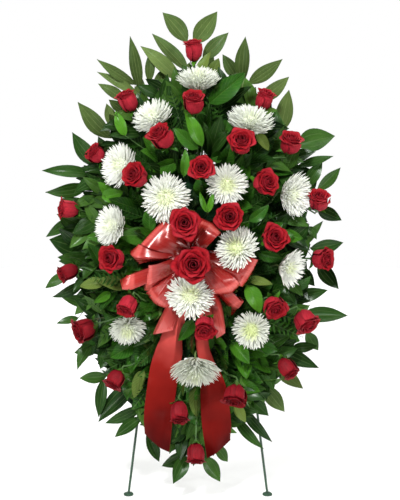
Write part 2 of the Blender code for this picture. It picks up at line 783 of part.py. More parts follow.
def add_bow():
    u, v, w = KNOT
    knot = rod("bow_ribbon", local(u, v, w - KNOT_LENGTH / 2), local(u, v, w + KNOT_LENGTH / 2),
               KNOT_R, 10, "ribbon_satin")
    pick = as_tool(rod("bow_pick", local(*pick_root()), local(*KNOT), PICK_R, SOCKET_SIDES, "ribbon_satin"))
    strips = [add_loop(*loop) for loop in LOOPS] + [add_tail(tail) for tail in TAILS]
    boolean(knot, [pick] + strips, "UNION")


# Build ---------------------------------------------------------------------------------------------------

add_front_leg("easel_left_leg", -1)
add_front_leg("easel_right_leg", 1)
add_pivot_bar()
add_front_bars()
add_ledge()
add_rear_leg()
add_cage()
roses = numbered("rose", ROSES)
mums = numbered("mum", MUMS)
add_foam({**roses, **mums})
for rose_name, rose in roses.items():
    add_rose(rose_name, rose)
for mum_name, mum in mums.items():
    add_mum(mum_name, mum)
for fan_name, fan_plan in FANS.items():
    add_fan(fan_name, fan_plan)
add_bow()
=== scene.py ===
"""Looks of the standing funeral arrangement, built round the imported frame.

Everything that leans with the easel is placed by u (right), v (up the easel from the middle of the foam) and
w (out to the front). The flowers' places are measured from their CAD nodes. Lengths are metres, except in the
tables, whose comments give their units.
"""

import json
import math

import bpy
import numpy as np
from mathutils import Matrix, Vector

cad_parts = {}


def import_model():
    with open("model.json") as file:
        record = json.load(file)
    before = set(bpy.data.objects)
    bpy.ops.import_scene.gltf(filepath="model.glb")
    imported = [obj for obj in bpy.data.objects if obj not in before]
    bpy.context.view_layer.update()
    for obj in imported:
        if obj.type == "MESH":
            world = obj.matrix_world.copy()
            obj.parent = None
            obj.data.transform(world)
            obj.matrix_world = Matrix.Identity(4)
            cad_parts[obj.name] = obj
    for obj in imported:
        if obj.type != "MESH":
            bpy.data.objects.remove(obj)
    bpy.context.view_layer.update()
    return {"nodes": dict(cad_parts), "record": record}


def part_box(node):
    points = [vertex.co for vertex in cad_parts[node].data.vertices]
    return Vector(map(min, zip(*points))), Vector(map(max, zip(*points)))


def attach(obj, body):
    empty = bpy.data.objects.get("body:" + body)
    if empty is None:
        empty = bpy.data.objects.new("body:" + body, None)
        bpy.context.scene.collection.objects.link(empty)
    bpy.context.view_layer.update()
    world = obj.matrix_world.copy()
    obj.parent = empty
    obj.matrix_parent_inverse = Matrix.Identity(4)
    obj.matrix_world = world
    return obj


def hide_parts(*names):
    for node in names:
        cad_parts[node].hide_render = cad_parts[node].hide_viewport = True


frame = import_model()
NODES = frame["nodes"]
MOUNTS = {mount["name"]: mount for mount in frame["record"]["mounts"]}
BODY = "arrangement"

# --- The spray's own coordinates ---

LEAN = math.radians(12)
FOOT_LEFT = Vector(MOUNTS["left_foot"]["pos_m"])
FOOT_RIGHT = Vector(MOUNTS["right_foot"]["pos_m"])
LEAN_FRAME = Matrix.Translation((FOOT_LEFT + FOOT_RIGHT) / 2) @ Matrix.Rotation(-LEAN, 4, "X")
FOAM_CENTRE = LEAN_FRAME.inverted() @ (sum(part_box("foam_block"), Vector()) / 2)
CENTRE_UP = FOAM_CENTRE.z
FOAM_HALF = Vector((0.055, 0.23, 0.04))
FOAM_W = -FOAM_CENTRE.y
FOAM_FRONT_W = FOAM_W + FOAM_HALF.z
LEAF_W = 0.036
LEAF_BACK_W = 0.008
DOME_RIM_W = 0.085
DOME_RISE = 0.14
DOME_HALF_U = 0.34
DOME_HALF_V = 0.53
RIGHT, UP, OUT = np.eye(3)
GOLDEN_ANGLE = 2.39996  # between one petal, floret or branch and the next, so that none line up
LEAF_THICKNESS = 0.0006
PETAL_THICKNESS = 0.0005
RIBBON_THICKNESS = 0.0005
LEAN_ROTATION = np.array(LEAN_FRAME.to_3x3())
LEAN_ORIGIN = np.array(LEAN_FRAME.translation)


def world(points):
    """World coordinates of points given as u, v, w."""
    p = np.asarray(points, float)
    local = np.stack([p[..., 0], -p[..., 2], p[..., 1] + CENTRE_UP], axis=-1)
    return local @ LEAN_ROTATION.T + LEAN_ORIGIN


def spray(points):
    """u, v, w of points given in world coordinates."""
    local = (np.asarray(points, float) - LEAN_ORIGIN) @ LEAN_ROTATION
    return np.stack([local[..., 0], local[..., 2] - CENTRE_UP, -local[..., 1]], axis=-1)


def dome(u, v):
    """How far out the flowers' faces stand over a place in the spray."""
    rim = (u / DOME_HALF_U) ** 2 + (v / DOME_HALF_V) ** 2
    return DOME_RIM_W + DOME_RISE * max(0.0, 1.0 - rim)


# --- Vector helpers ---


def at(u, v, w):
    return np.array([u, v, w], float)


def unit(vector):
    vector = np.asarray(vector, float)
    return vector / max(1e-9, np.linalg.norm(vector))


def ramp(x, low, high):
    """Smooth step from 0 at low to 1 at high."""
    t = np.clip((np.asarray(x, float) - low) / (high - low), 0.0, 1.0)
    return t * t * (3 - 2 * t)


def turn(vector, axis, angle):
    """A vector turned about an axis."""
    v, k = np.asarray(vector, float), unit(axis)
    return v * math.cos(angle) + np.cross(k, v) * math.sin(angle) + k * (k @ v) * (1 - math.cos(angle))


def basis(z_axis, hint=RIGHT):
    """Columns x, y, z of a right-handed frame with the given z."""
    z = unit(z_axis)
    if abs(z @ hint) > 0.9:
        hint = UP if abs(z @ UP) < 0.9 else OUT
    x = unit(hint - z * (z @ hint))
    return np.stack([x, np.cross(z, x), z], axis=1)


def curve_through(points, count):
    """Evenly spaced points on a smooth curve through the given ones."""
    p = np.asarray(points, float)
    ends = np.vstack([2 * p[0] - p[1], p, 2 * p[-1] - p[-2]])
    out = []
    for i in range(len(p) - 1):
        a, b, c, d = ends[i:i + 4]
        for t in np.linspace(0, 1, 12, endpoint=False):
            out.append(0.5 * (2 * b + (c - a) * t + (2 * a - 5 * b + 4 * c - d) * t ** 2
                              + (3 * b - a - 3 * c + d) * t ** 3))
    out = np.array(out + [p[-1]])
    along = np.concatenate([[0], np.cumsum(np.linalg.norm(np.diff(out[:, :3], axis=0), axis=1))])
    places = np.linspace(0, along[-1], count)
    return np.stack([np.interp(places, along, out[:, k]) for k in range(out.shape[1])], axis=1)


def unit_rows(rows):
    return rows / np.maximum(np.linalg.norm(rows, axis=-1, keepdims=True), 1e-12)


# --- Mesh helpers ---


def sheet_axes(n, m):
    """How far along a sheet each row lies, from 0 to 1, and how far across each column, from -1 to 1."""
    return np.linspace(0, 1, n)[:, None], np.linspace(-1, 1, m)[None, :]


def grid_uv(n, m):
    """Across and along, from 0 to 1, for the vertices of a grid of n rows."""
    return np.stack(np.meshgrid(np.linspace(0, 1, m), np.linspace(0, 1, n)), axis=-1).reshape(-1, 2)


class Form:
    """Collects thin sheets and tubes, given as u, v, w, into one mesh with numbers for its materials."""

    def __init__(self, pressed=False):
        self.pressed = pressed
        self.vertices, self.faces, self.slots, self.uv, self.numbers = [], [], [], [], []
        self.count = 0

    def add(self, vertices, faces, uv, tint, layer, back, slot):
        n = len(vertices)
        self.vertices.append(vertices)
        self.faces.append(np.asarray(faces) + self.count)
        self.slots.append(np.full(len(faces), slot))
        self.uv.append(uv)
        self.numbers.append(np.stack([np.full(n, tint), np.full(n, layer), back], axis=1))
        self.count += n

    def sheet(self, grid, thickness, tint, slot=0, layer=0.5):
        """A closed thin sheet on a grid of points, along by across."""
        n, m, _ = grid.shape
        if self.pressed:
            grid = pressed_down(grid)
        normal = unit_rows(np.cross(np.gradient(grid, axis=0), np.gradient(grid, axis=1)))
        off = normal * thickness / 2
        vertices = np.vstack([(grid + off).reshape(-1, 3), (grid - off).reshape(-1, 3)])
        uv = grid_uv(n, m)
        self.add(vertices, sheet_faces(n, m), np.vstack([uv, uv]), tint, layer, np.repeat([0.0, 1.0], n * m),
                 slot)

    def tube(self, path, radii, sides, tint, slot=0, layer=0.5, flat=1.0, flat_axis=OUT):
        """A closed tube along a path. flat below 1 squeezes it along flat_axis."""
        path = pressed_down(path) if self.pressed else np.asarray(path, float)
        n = len(path)
        radii = np.broadcast_to(np.asarray(radii, float), (n,))
        along = unit_rows(np.gradient(path, axis=0))
        side = unit_rows(np.cross(along, flat_axis) + 1e-6 * RIGHT)
        thin = np.cross(side, along)
        angles = np.arange(sides) * 2 * math.pi / sides
        ring = (side[:, None] * np.cos(angles)[None, :, None]
                + thin[:, None] * np.sin(angles)[None, :, None] * flat)
        vertices = (path[:, None] + ring * radii[:, None, None]).reshape(-1, 3)
        self.add(vertices, tube_faces(n, sides), grid_uv(n, sides), tint, layer, np.zeros(n * sides), slot)

    def mesh(self, name, materials):
        mesh = bpy.data.meshes.new(name)
        faces = np.vstack(self.faces)
        mesh.from_pydata(world(np.vstack(self.vertices)), [], faces)
        for material in materials:
            mesh.materials.append(material)
        mesh.polygons.foreach_set("material_index", np.concatenate(self.slots).astype(np.int32))
        uv = np.vstack(self.uv)[faces.ravel()].astype(np.float32)
        mesh.uv_layers.new(name="UVMap").data.foreach_set("uv", uv.ravel())
        numbers = np.vstack(self.numbers).astype(np.float32)
        for label, values in zip(("tint", "layer", "back"), numbers.T):
            attribute = mesh.attributes.new(label, "FLOAT", "POINT")
            attribute.data.foreach_set("value", np.ascontiguousarray(values))
        mesh.shade_smooth()
        mesh.set_sharp_from_angle(angle=math.radians(50))
        return mesh

    def piece(self, name, materials, slot, replaces=()):
        obj = put(name, self.mesh(name, materials))
        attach(obj, BODY)
        if replaces:
            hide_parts(*replaces)
        return obj


def put(name, data):
    """A new object in the scene."""
    obj = bpy.data.objects.new(name, data)
    bpy.context.scene.collection.objects.link(obj)
    return obj


HEADS = []  # the middle of each flower's head, how wide it reaches and how deep, once it is built
UNDER_BOW_W = 0.125
FREE = 0.2  # added to a limit beside the thing that sets it, so that it presses nothing there


def pressed_down(points):
    """Points of leaves, pressed down under the bow, its tails and the flowers, and in front of the easel."""
    pressed = np.array(points, float)
    u, v = pressed[..., 0], pressed[..., 1]
    limit = UNDER_BOW_W + FREE * ramp(((u - KNOT[0]) / 0.125) ** 2 + (v / 0.1) ** 2, 0.8, 1.5)
    for _, _, stations in TAILS.values():
        rows = np.array(stations)[::-1] / 1000
        middle, above, half = (np.interp(v, rows[:, 1], rows[:, k]) for k in (0, 2, 3))
        beside = ramp(np.abs(u - middle), half / 2 + 0.008, half / 2 + 0.035)
        beyond = ramp(rows[0, 1] - v, 0.025, 0.055)
        limit = np.minimum(limit, above - 0.01 + FREE * np.maximum(beside, beyond))
    for middle_u, middle_v, middle_w, reach, depth in HEADS:
        away = np.hypot(u - middle_u, v - middle_v) / reach
        behind = middle_w - depth * np.sqrt(np.maximum(1.0 - away ** 2, 0.0)) - 0.003
        limit = np.minimum(limit, behind + FREE * ramp(away, 1.0, 1.5))
    pressed[..., 2] = np.minimum(pressed[..., 2], limit)
    pressed[..., 2] += np.maximum(LEAF_BACK_W - pressed[..., 2], 0) * 0.9
    return pressed


def sheet_faces(n, m):
    """Quads of a closed sheet: its top, its bottom and the rim between them."""
    ids = np.arange(n * m).reshape(n, m)
    top = np.stack([ids[:-1, :-1], ids[1:, :-1], ids[1:, 1:], ids[:-1, 1:]], axis=-1).reshape(-1, 4)
    edge = np.concatenate([ids[0, :], ids[1:, -1], ids[-1, -2::-1], ids[-2:0:-1, 0]])
    after = np.roll(edge, -1)
    rim = np.stack([edge, after, after + n * m, edge + n * m], axis=-1)
    return np.vstack([top, top[:, ::-1] + n * m, rim])


def tube_faces(n, sides):
    """Quads of a tube of n rings, with a fan of quads closing each end. sides is even."""
    ids = np.arange(n * sides).reshape(n, sides)
    after = np.roll(ids, -1, axis=1)
    wall = np.stack([ids[:-1], ids[1:], after[1:], after[:-1]], axis=-1).reshape(-1, 4)
    fan = np.array([[0, i, i + 1, i + 2] for i in range(1, sides - 2, 2)])
    return np.vstack([wall, ids[0][fan], ids[-1][fan[:, [0, 3, 2, 1]]]])


# --- Material helpers ---


class Paint:
    """A material whose Principled shader is fed by a few nodes."""

    def __init__(self, name, constants):
        self.material = bpy.data.materials.new(name)
        self.material.use_nodes = True
        self.tree = self.material.node_tree
        self.shader = self.tree.nodes["Principled BSDF"]
        for label, value in constants.items():
            self.shader.inputs[label].default_value = value

    def node(self, kind, inputs=None, **settings):
        made = self.tree.nodes.new("ShaderNode" + kind)
        for key, value in settings.items():
            setattr(made, key, value)
        for key, value in (inputs or {}).items():
            self.feed(made.inputs[key], value)
        return made

    def feed(self, socket, value):
        if isinstance(value, bpy.types.NodeSocket):
            self.tree.links.new(value, socket)
        else:
            socket.default_value = value

    def set(self, label, value):
        self.feed(self.shader.inputs[label], value)

    def attribute(self, name):
        return self.node("Attribute", attribute_name=name).outputs["Fac"]

    def across_along(self):
        parts = self.node("SeparateXYZ", {0: self.node("UVMap", uv_map="UVMap").outputs[0]})
        return parts.outputs[0], parts.outputs[1]

    def math(self, operation, a, b=0.0, c=0.0):
        return self.node("Math", {0: a, 1: b, 2: c}, operation=operation).outputs[0]

    def plus(self, a, b):
        return self.math("ADD", a, b)

    def times(self, a, b):
        return self.math("MULTIPLY", a, b)

    def scaled(self, value, gain, offset):
        return self.math("MULTIPLY_ADD", value, gain, offset)

    def larger(self, a, b):
        return self.math("MAXIMUM", a, b)

    def apart(self, a, b):
        return self.math("ABSOLUTE", self.math("SUBTRACT", a, b))

    def step(self, value, low, high):
        """Smooth 0 to 1 as value goes from low to high, or falling if low is above high."""
        node = self.node("MapRange", {0: value, 1: low, 2: high}, interpolation_type="SMOOTHSTEP")
        return node.outputs[0]

    def mix(self, factor, a, b):
        return self.node("Mix", {0: factor, 6: a, 7: b}, data_type="RGBA").outputs[2]

    def stain_and_painted_light(self, colour, where, strength, other):
        """A colour that another one covers as strongly as where and strength say: used for real marks and for
        painted light.
        """
        return self.mix(self.times(where, strength), colour, rgb(*other))

    def ramp(self, value, stops):
        node = self.node("ValToRGB", {0: value})
        elements = node.color_ramp.elements
        while len(elements) < len(stops):
            elements.new(0.5)
        for element, (place, colour) in zip(elements, stops):
            element.position = place
            element.color = (*colour, 1.0)
        return node.outputs[0]

    def two_tone(self, value, low, high):
        return self.ramp(value, ((0.3, low), (0.7, high)))

    def noise(self, scale, detail=3.0, stretch=(1, 1, 1), space="Object", roughness=0.5):
        place = self.node("TexCoord").outputs[space]
        mapped = self.node("Mapping", {0: place, 3: stretch}).outputs[0]
        node = self.node("TexNoise", {"Vector": mapped, "Scale": scale, "Detail": detail,
                                      "Roughness": roughness})
        return node.outputs[0]

    def finish(self, colour, rough, height, strength, distance):
        """The material, with its colour, its roughness if that varies, and its bumps."""
        self.set("Base Color", colour)
        if rough:
            self.set("Roughness", self.scaled(*rough))
        node = self.node("Bump", {"Height": height, "Strength": strength, "Distance": distance})
        self.set("Normal", node.outputs[0])
        return self.material


def rgb(*colour):
    return (*colour, 1.0)


# --- Materials ---


def leaf_paint(name, colours, vein, back, side_nerve, gloss):
    """A leaf: colour by each leaf's tint, mottled, with ribs, a paler back and a waxy gloss."""
    paint = Paint(name, {"Coat Weight": gloss, "Coat Roughness": 0.22, "Specular IOR Level": 0.22,
                         "Specular Tint": rgb(0.35, 0.8, 0.35)})
    across, along = paint.across_along()
    off = paint.times(paint.apart(across, 0.5), 2.0)
    midrib = paint.step(off, 0.09, 0.0)
    if side_nerve:
        nerve = paint.step(paint.apart(off, side_nerve), 0.06, 0.0)
        lines = paint.times(nerve, paint.times(paint.step(along, 0.0, 0.15), paint.step(along, 0.95, 0.6)))
    else:
        run = paint.math("SUBTRACT", paint.times(along, 9.0), paint.times(off, 2.6))
        saw = paint.apart(paint.math("FRACT", run), 0.5)
        lines = paint.times(paint.step(saw, 0.12, 0.0), 0.7)
    veins = paint.larger(midrib, lines)
    mottle = paint.noise(38.0, 4.0)
    shade = paint.plus(paint.attribute("tint"), paint.scaled(mottle, 0.5, -0.25))
    colour = paint.ramp(shade, tuple(zip((0.0, 0.5, 1.0), colours)))
    underside = paint.times(paint.attribute("back"), 0.75)
    colour = paint.mix(underside, colour, paint.mix(paint.step(mottle, 0.35, 0.65), rgb(*back), colour))
    colour = paint.stain_and_painted_light(colour, veins, 0.32, vein)
    edge = paint.larger(paint.step(off, 0.9, 1.0), paint.step(along, 0.94, 1.0))
    colour = paint.stain_and_painted_light(colour, edge, 0.45, colours[0])
    fine = paint.noise(320.0, 2.0)
    height = paint.plus(paint.times(veins, -1.0), paint.times(mottle, 0.9))
    height = paint.plus(height, paint.times(fine, 0.25))
    return paint.finish(colour, (fine, 0.22, 0.32), height, 0.8, 0.0008)


def rose_paint(name, deep, lit, outer):
    """Velvety petals: painted shade at their roots and in the heart, veined, with wine-dark rims on the
    outermost.
    """
    paint = Paint(name, {"Specular IOR Level": 0.12, "Sheen Weight": 0.1, "Sheen Roughness": 0.35,
                         "Sheen Tint": rgb(1.0, 0.25, 0.3)})
    across, along = paint.across_along()
    layer = paint.attribute("layer")
    # Painted shade at the petals' roots and in the heart, painted light towards the outer petals' tips.
    light = paint.times(paint.step(along, 0.25, 0.92), paint.step(layer, -0.45, 0.65))
    colour = paint.mix(light, rgb(*deep), rgb(*lit))
    # The petals' backs take the outer colour: partly their own colour, partly a painted sheen.
    colour = paint.stain_and_painted_light(colour, paint.attribute("back"), 0.7, outer)
    veins = paint.noise(1.0, 3.0, (34, 3.0, 1), "UV")
    colour = paint.stain_and_painted_light(colour, paint.step(veins, 0.42, 0.72), 0.38, deep)
    blotch = paint.noise(210.0, 3.0)
    colour = paint.stain_and_painted_light(colour, paint.step(blotch, 0.5, 0.75), 0.3, deep)
    off = paint.times(paint.apart(across, 0.5), 2.0)
    rim = paint.larger(paint.step(along, 0.93, 1.0), paint.step(off, 0.9, 1.0))
    colour = paint.stain_and_painted_light(colour, paint.times(rim, paint.step(layer, 0.45, 0.9)), 0.5, deep)
    colour = paint.stain_and_painted_light(colour, paint.step(paint.attribute("tint"), 0.5, 1.0), 0.35, outer)
    fine = paint.noise(900.0, 2.0)
    return paint.finish(colour, (fine, 0.2, 0.46), paint.plus(veins, paint.times(blotch, 0.5)), 0.35, 0.0009)


def mum_paint():
    """White florets that are greenish at the flower's heart and near their own roots."""
    paint = Paint("mum_florets", {"Specular IOR Level": 0.25, "Subsurface Weight": 0.12,
                                  "Subsurface Radius": (0.004, 0.004, 0.003), "Subsurface Scale": 0.6})
    _, along = paint.across_along()
    # The tint carries each floret's random tone and its flower's painted shade.
    white = paint.mix(paint.attribute("tint"), rgb(0.5, 0.54, 0.44), rgb(0.945, 0.96, 0.9))
    heart = paint.times(paint.step(paint.attribute("layer"), 0.72, 1.0), 0.78)
    root = paint.times(paint.step(along, 0.42, 0.0), 0.5)
    colour = paint.mix(paint.larger(heart, root), white, rgb(0.66, 0.75, 0.3))
    ribs = paint.noise(700.0, 2.0)
    return paint.finish(colour, (ribs, 0.2, 0.48), ribs, 0.15, 0.0005)


def satin_paint(name, stops, gloss, shine, dull, wrinkles, looped=False):
    """Red satin with a fine cross weave and soft wrinkles, with painted light and shade set by how near it is
    to the knot.

    A looped ribbon also has a painted highlight along its fold.
    """
    paint = Paint(name, {"Specular IOR Level": shine, "Specular Tint": rgb(1.0, 0.66, 0.62),
                         "Coat Weight": gloss, "Coat Roughness": 0.2})
    across, along = paint.across_along()
    weave = paint.math("SINE", paint.times(across, 420.0))
    cloud = paint.scaled(paint.noise(9.0), 0.4, -0.2)
    # Painted light and shade: a loop is dark at the knot and light at its fold, a hanging ribbon runs through
    # its stops from its top to its end.
    if looped:
        from_fold = paint.apart(paint.scaled(across, 0.03, along), 0.55)
        near = paint.scaled(from_fold, -1.8, 1.0)
    else:
        near = paint.scaled(along, -0.9, 1.05)
    colour = paint.ramp(paint.plus(near, cloud), stops)
    # A painted highlight band along the loop's fold.
    if looped:
        colour = paint.stain_and_painted_light(colour, paint.step(from_fold, 0.034, 0.012), 0.5, (0.85, 0.17, 0.15))
    selvedge = paint.step(paint.apart(across, 0.5), 0.475, 0.495)
    colour = paint.stain_and_painted_light(colour, selvedge, 0.45, (0.16, 0.006, 0.008))
    crease = paint.noise(1.0, 3.0, (5.0, 1.4, 1), "UV")
    height = paint.plus(paint.times(crease, wrinkles), paint.times(weave, 0.05))
    return paint.finish(colour, (crease, 0.14, dull), height, 0.1, 0.001)


def foam_paint():
    paint = Paint("foam_cells", {"Specular IOR Level": 0.2, "Roughness": 0.95})
    place = paint.node("TexCoord").outputs["Object"]
    cells = paint.node("TexVoronoi", {"Vector": place, "Scale": 520.0}).outputs[0]
    wet = paint.two_tone(paint.noise(18.0, 4.0), (0.012, 0.05, 0.018), (0.026, 0.095, 0.036))
    colour = paint.mix(paint.step(cells, 0.5, 0.1), wet, rgb(0.012, 0.05, 0.02))
    return paint.finish(colour, None, cells, 0.8, 0.0012)


def stem_paint(name, low, high):
    paint = Paint(name, {"Specular IOR Level": 0.4})
    streak = paint.noise(90.0)
    colour = paint.two_tone(streak, low, high)
    return paint.finish(colour, (streak, 0.3, 0.35), paint.noise(400.0), 0.3, 0.0006)


def painted_wire_paint():
    """Dark green paint on steel wire, a little uneven and rubbed."""
    paint = Paint("easel_paint", {"Coat Weight": 0.3, "Coat Roughness": 0.25})
    wear = paint.noise(160.0, 5.0, roughness=0.7)
    colour = paint.ramp(wear, ((0.3, (0.01, 0.035, 0.018)), (0.62, (0.022, 0.075, 0.036)),
                               (0.8, (0.05, 0.11, 0.065))))
    return paint.finish(colour, (wear, 0.35, 0.22), wear, 0.25, 0.0004)


def moulded_paint():
    """Moulded plastic with fine ribs across it."""
    paint = Paint("cage_plastic", {"Specular IOR Level": 0.45})
    height = paint.node("SeparateXYZ", {0: paint.node("TexCoord").outputs["Object"]}).outputs[2]
    ribs = paint.step(paint.math("SINE", paint.times(height, 520.0)), 0.55, 0.95)
    grain = paint.noise(600.0)
    colour = paint.two_tone(paint.noise(12.0), (0.012, 0.06, 0.026), (0.02, 0.09, 0.038))
    return paint.finish(colour, (grain, 0.2, 0.38), paint.scaled(ribs, 2.5, grain), 0.4, 0.0006)


# Dark, middle and light, then the veins, the back, where a lengthwise nerve runs, if one does, and the gloss
RIM_LEAF = leaf_paint("rim_leaf", ((0.026, 0.044, 0.01), (0.082, 0.13, 0.034), (0.165, 0.23, 0.064)),
                      (0.25, 0.32, 0.11), (0.145, 0.195, 0.068), 0.48, 0.04)
GLOSSY_LEAF = leaf_paint("glossy_leaf", ((0.003, 0.01, 0.002), (0.018, 0.056, 0.007), (0.064, 0.15, 0.022)),
                         (0.12, 0.2, 0.06), (0.085, 0.14, 0.04), 0.52, 0.2)
BROAD_LEAF = leaf_paint("broad_leaf", ((0.005, 0.02, 0.003), (0.024, 0.1, 0.007), (0.08, 0.255, 0.014)),
                        (0.14, 0.28, 0.05), (0.12, 0.19, 0.055), None, 0.2)
OLIVE_LEAF = leaf_paint("olive_leaf", ((0.07, 0.11, 0.02), (0.12, 0.175, 0.035), (0.2, 0.28, 0.055)),
                        (0.3, 0.36, 0.12), (0.18, 0.23, 0.07), None, 0.04)
FERN_LEAF = leaf_paint("fern_leaf", ((0.004, 0.017, 0.004), (0.012, 0.045, 0.007), (0.034, 0.105, 0.013)),
                       (0.05, 0.11, 0.02), (0.03, 0.07, 0.015), None, 0.0)
ROSE = rose_paint("rose_velvet", (0.044, 0.0005, 0.003), (0.36, 0.0062, 0.0125), (0.46, 0.022, 0.04))
# A darker copy of the rose velvet, for roses that take less light: painted shade.
ROSE_SHADED = rose_paint("rose_velvet_shaded", (0.04, 0.0004, 0.003), (0.26, 0.004, 0.009), (0.24, 0.007, 0.014))
MUM = mum_paint()
# One red satin, painted with three sets of light and shade: the loops dark at the knot and light at their
# folds, the long tails light at the top and dark towards their ends, the short tails dark at the knot and
# light towards their ends.
SATIN = satin_paint("ribbon_satin", ((0.3, (0.055, 0.002, 0.001)), (0.62, (0.185, 0.006, 0.005)),
                                     (0.95, (0.4, 0.024, 0.02))), 0.45, 0.6, 0.2, 5.0, True)
SATIN_TAIL = satin_paint("ribbon_satin_tail", ((0.15, (0.06, 0.001, 0.001)), (0.48, (0.26, 0.009, 0.006)),
                                               (0.8, (0.76, 0.115, 0.1))), 0.0, 0.12, 0.38, 1.0)
SATIN_END = satin_paint("ribbon_satin_end", ((0.15, (0.56, 0.085, 0.075)), (0.5, (0.32, 0.024, 0.02)),
                                             (0.85, (0.14, 0.005, 0.004))), 0.5, 0.7, 0.22, 4.0)
STEM = stem_paint("green_stem", (0.03, 0.085, 0.02), (0.085, 0.18, 0.04))
PALE_STEM = stem_paint("pale_stem", (0.06, 0.12, 0.03), (0.15, 0.22, 0.07))
TWIG = stem_paint("brown_twig", (0.035, 0.045, 0.018), (0.08, 0.075, 0.03))
FOAM = foam_paint()
CAGE = moulded_paint()
EASEL_PAINT = painted_wire_paint()


# --- Flowers ---


def flower_of(node):
    """Root, axis, head radius and tip of a flower's turned solid, as u, v, w, from its vertices."""
    points = spray([vertex.co for vertex in NODES[node].data.vertices])
    inside = np.array([0, np.clip(points.mean(0)[1], -0.2, 0.2), FOAM_W])
    first = points[np.argmin(np.linalg.norm(points - inside, axis=1))]
    root = unique_mean(points[np.linalg.norm(points - first, axis=1) < 0.006])
    axis = unit(unique_mean(points) - root)
    heights = (points - root) @ axis
    radius = np.linalg.norm(points - root - heights[:, None] * axis, axis=1).max()
    return root, axis, radius, heights.max()


def unique_mean(points):
    return np.unique(np.round(points, 5), axis=0).mean(0)


PETALS = 22
# How far out and how high a petal stands at these shares of its height: in the bud, halfway and outermost
PETAL_H = np.array([0.0, 0.15, 0.35, 0.6, 0.8, 0.92, 1.0])
PETAL_PROFILES = np.array([
    [[0.04, 0.12, 0.17, 0.16, 0.12, 0.1, 0.13], [-0.6, -0.35, -0.05, 0.34, 0.66, 0.8, 0.85]],
    [[0.08, 0.34, 0.54, 0.57, 0.52, 0.56, 0.66], [-0.88, -0.62, -0.25, 0.22, 0.6, 0.76, 0.78]],
    [[0.1, 0.52, 0.85, 0.91, 0.82, 0.86, 0.96], [-1.00, -0.86, -0.5, 0.04, 0.52, 0.72, 0.76]],
])


def petal_grid(t, radius, openness, angle, seed):
    """A rose petal in the flower's own frame. t is 0 at the heart and 1 for the outermost."""
    draw = np.random.default_rng(seed).uniform
    n, m = (7, 7) if t < 0.4 else (10, 10) if t < 0.65 else (12, 12)
    slender = np.clip((0.2 - openness) / 0.15, 0.0, 1.0)
    h, s = sheet_axes(n, m)
    h = h * (1 - 0.17 * np.abs(s) ** 2.4)
    inner = 0 if t < 0.5 else 1
    mix = t * 2 - inner
    profile = PETAL_PROFILES[inner] * (1 - mix) + PETAL_PROFILES[inner + 1] * mix
    rho, z = (np.interp(h, PETAL_H, row) for row in profile)
    spread = ramp(h, 0.4, 1.0) * t ** 1.5 * (openness + draw(-0.08, 0.12))
    rho = rho + spread * 0.3
    z = z - spread * (0.4 + 0.12 * h ** 6)
    half = (1.8 - 0.84 * t) * np.interp(h, [0, 0.3, 0.6, 0.9, 1], [0.4, 0.85, 1.0, 0.92, 0.78])
    phi = angle + s * half + 0.6 * (1 - t) * h
    point = np.exp(-((s - draw(-0.15, 0.15)) / 0.26) ** 2) * ramp(h, 0.6, 1.0)
    sides = t ** 2 * ramp(np.abs(s), 0.45, 1.0) * ramp(h, 0.25, 0.75)
    rim = t ** 2 * ramp(h, 0.8, 1.0)
    wave = np.sin(3.2 * s + draw(0, 6.3)) * h ** 3
    rho = rho + (0.03 + 0.13 * t) * point + 0.075 * sides + draw(0.04, 0.17) * rim + 0.04 * wave * t
    rho = rho * (1 + 0.07 * s) * (1 + draw(-0.05, 0.05) * h)
    z = z - 0.16 * openness * t * point + 0.07 * slender * t * point - 0.04 * sides
    z = z - draw(0.02, 0.09) * rim + draw(-0.1, 0.07) * h ** 2
    rho, z = rho * (1 - 0.17 * slender), z * (1 + 0.1 * slender)
    grid = np.stack([rho * np.cos(phi), rho * np.sin(phi), np.broadcast_to(z, rho.shape)], axis=-1)
    return grid * radius


def rose_head(form, centre, axes, radius, openness, seed):
    draw = np.random.default_rng(seed).uniform
    start = draw(0, 6.3)
    for i in range(PETALS):
        t = (i / (PETALS - 1)) ** 0.9
        angle = start + i * GOLDEN_ANGLE + draw(-0.15, 0.15)
        grid = petal_grid(t, radius, openness, angle, seed * 100 + i)
        form.sheet(grid @ axes.T + centre, PETAL_THICKNESS, draw(0, 1), layer=t)


def sepals(form, centre, axes, radius, draw):
    """Five narrow green sepals under a rose's head, some hugging it and some bent back."""
    start = draw(0, 6.3)
    for i in range(5):
        angle = start + i * 2 * math.pi / 5
        bend = draw(-0.2, 1.1)
        t, s = sheet_axes(7, 4)
        rho = 0.16 + t * (0.55 + 0.35 * bend)
        z = -1.12 + t * 0.75 - bend * t ** 2 * 0.9
        out = at(math.cos(angle), math.sin(angle), 0)
        side = at(-math.sin(angle), math.cos(angle), 0)
        half = 0.2 * np.sin(np.pi * np.clip(t * 0.86 + 0.14, 0, 1)) ** 0.8 + 0.008
        grid = (out * rho + OUT * z)[:, None] + side * (half * s)[..., None]
        grid[..., 2] -= 0.05 * (1 - s ** 2)
        form.sheet(grid * radius @ axes.T + centre, LEAF_THICKNESS, draw(0.4, 1.0), 1)


def along_axis(form, centre, facing, radius, heights, radii, *how):
    """A round solid on a flower's axis. Its heights and radii are shares of the flower's radius."""
    form.tube(centre + facing * np.array(heights)[:, None] * radius, np.array(radii) * radius, *how)


def nodding_stem(root, axis, neck, facing, radius):
    """A stem that leaves the foam along the hole's axis and bends over to meet its nodding head."""
    straight = (neck - root) @ axis
    bend = root + axis * max(0.5 * straight, straight - 1.6 * radius)
    below = neck - facing * 0.5 * radius
    return curve_through([root, (root + bend) / 2, bend, below, neck + facing * 0.1 * radius], 14)


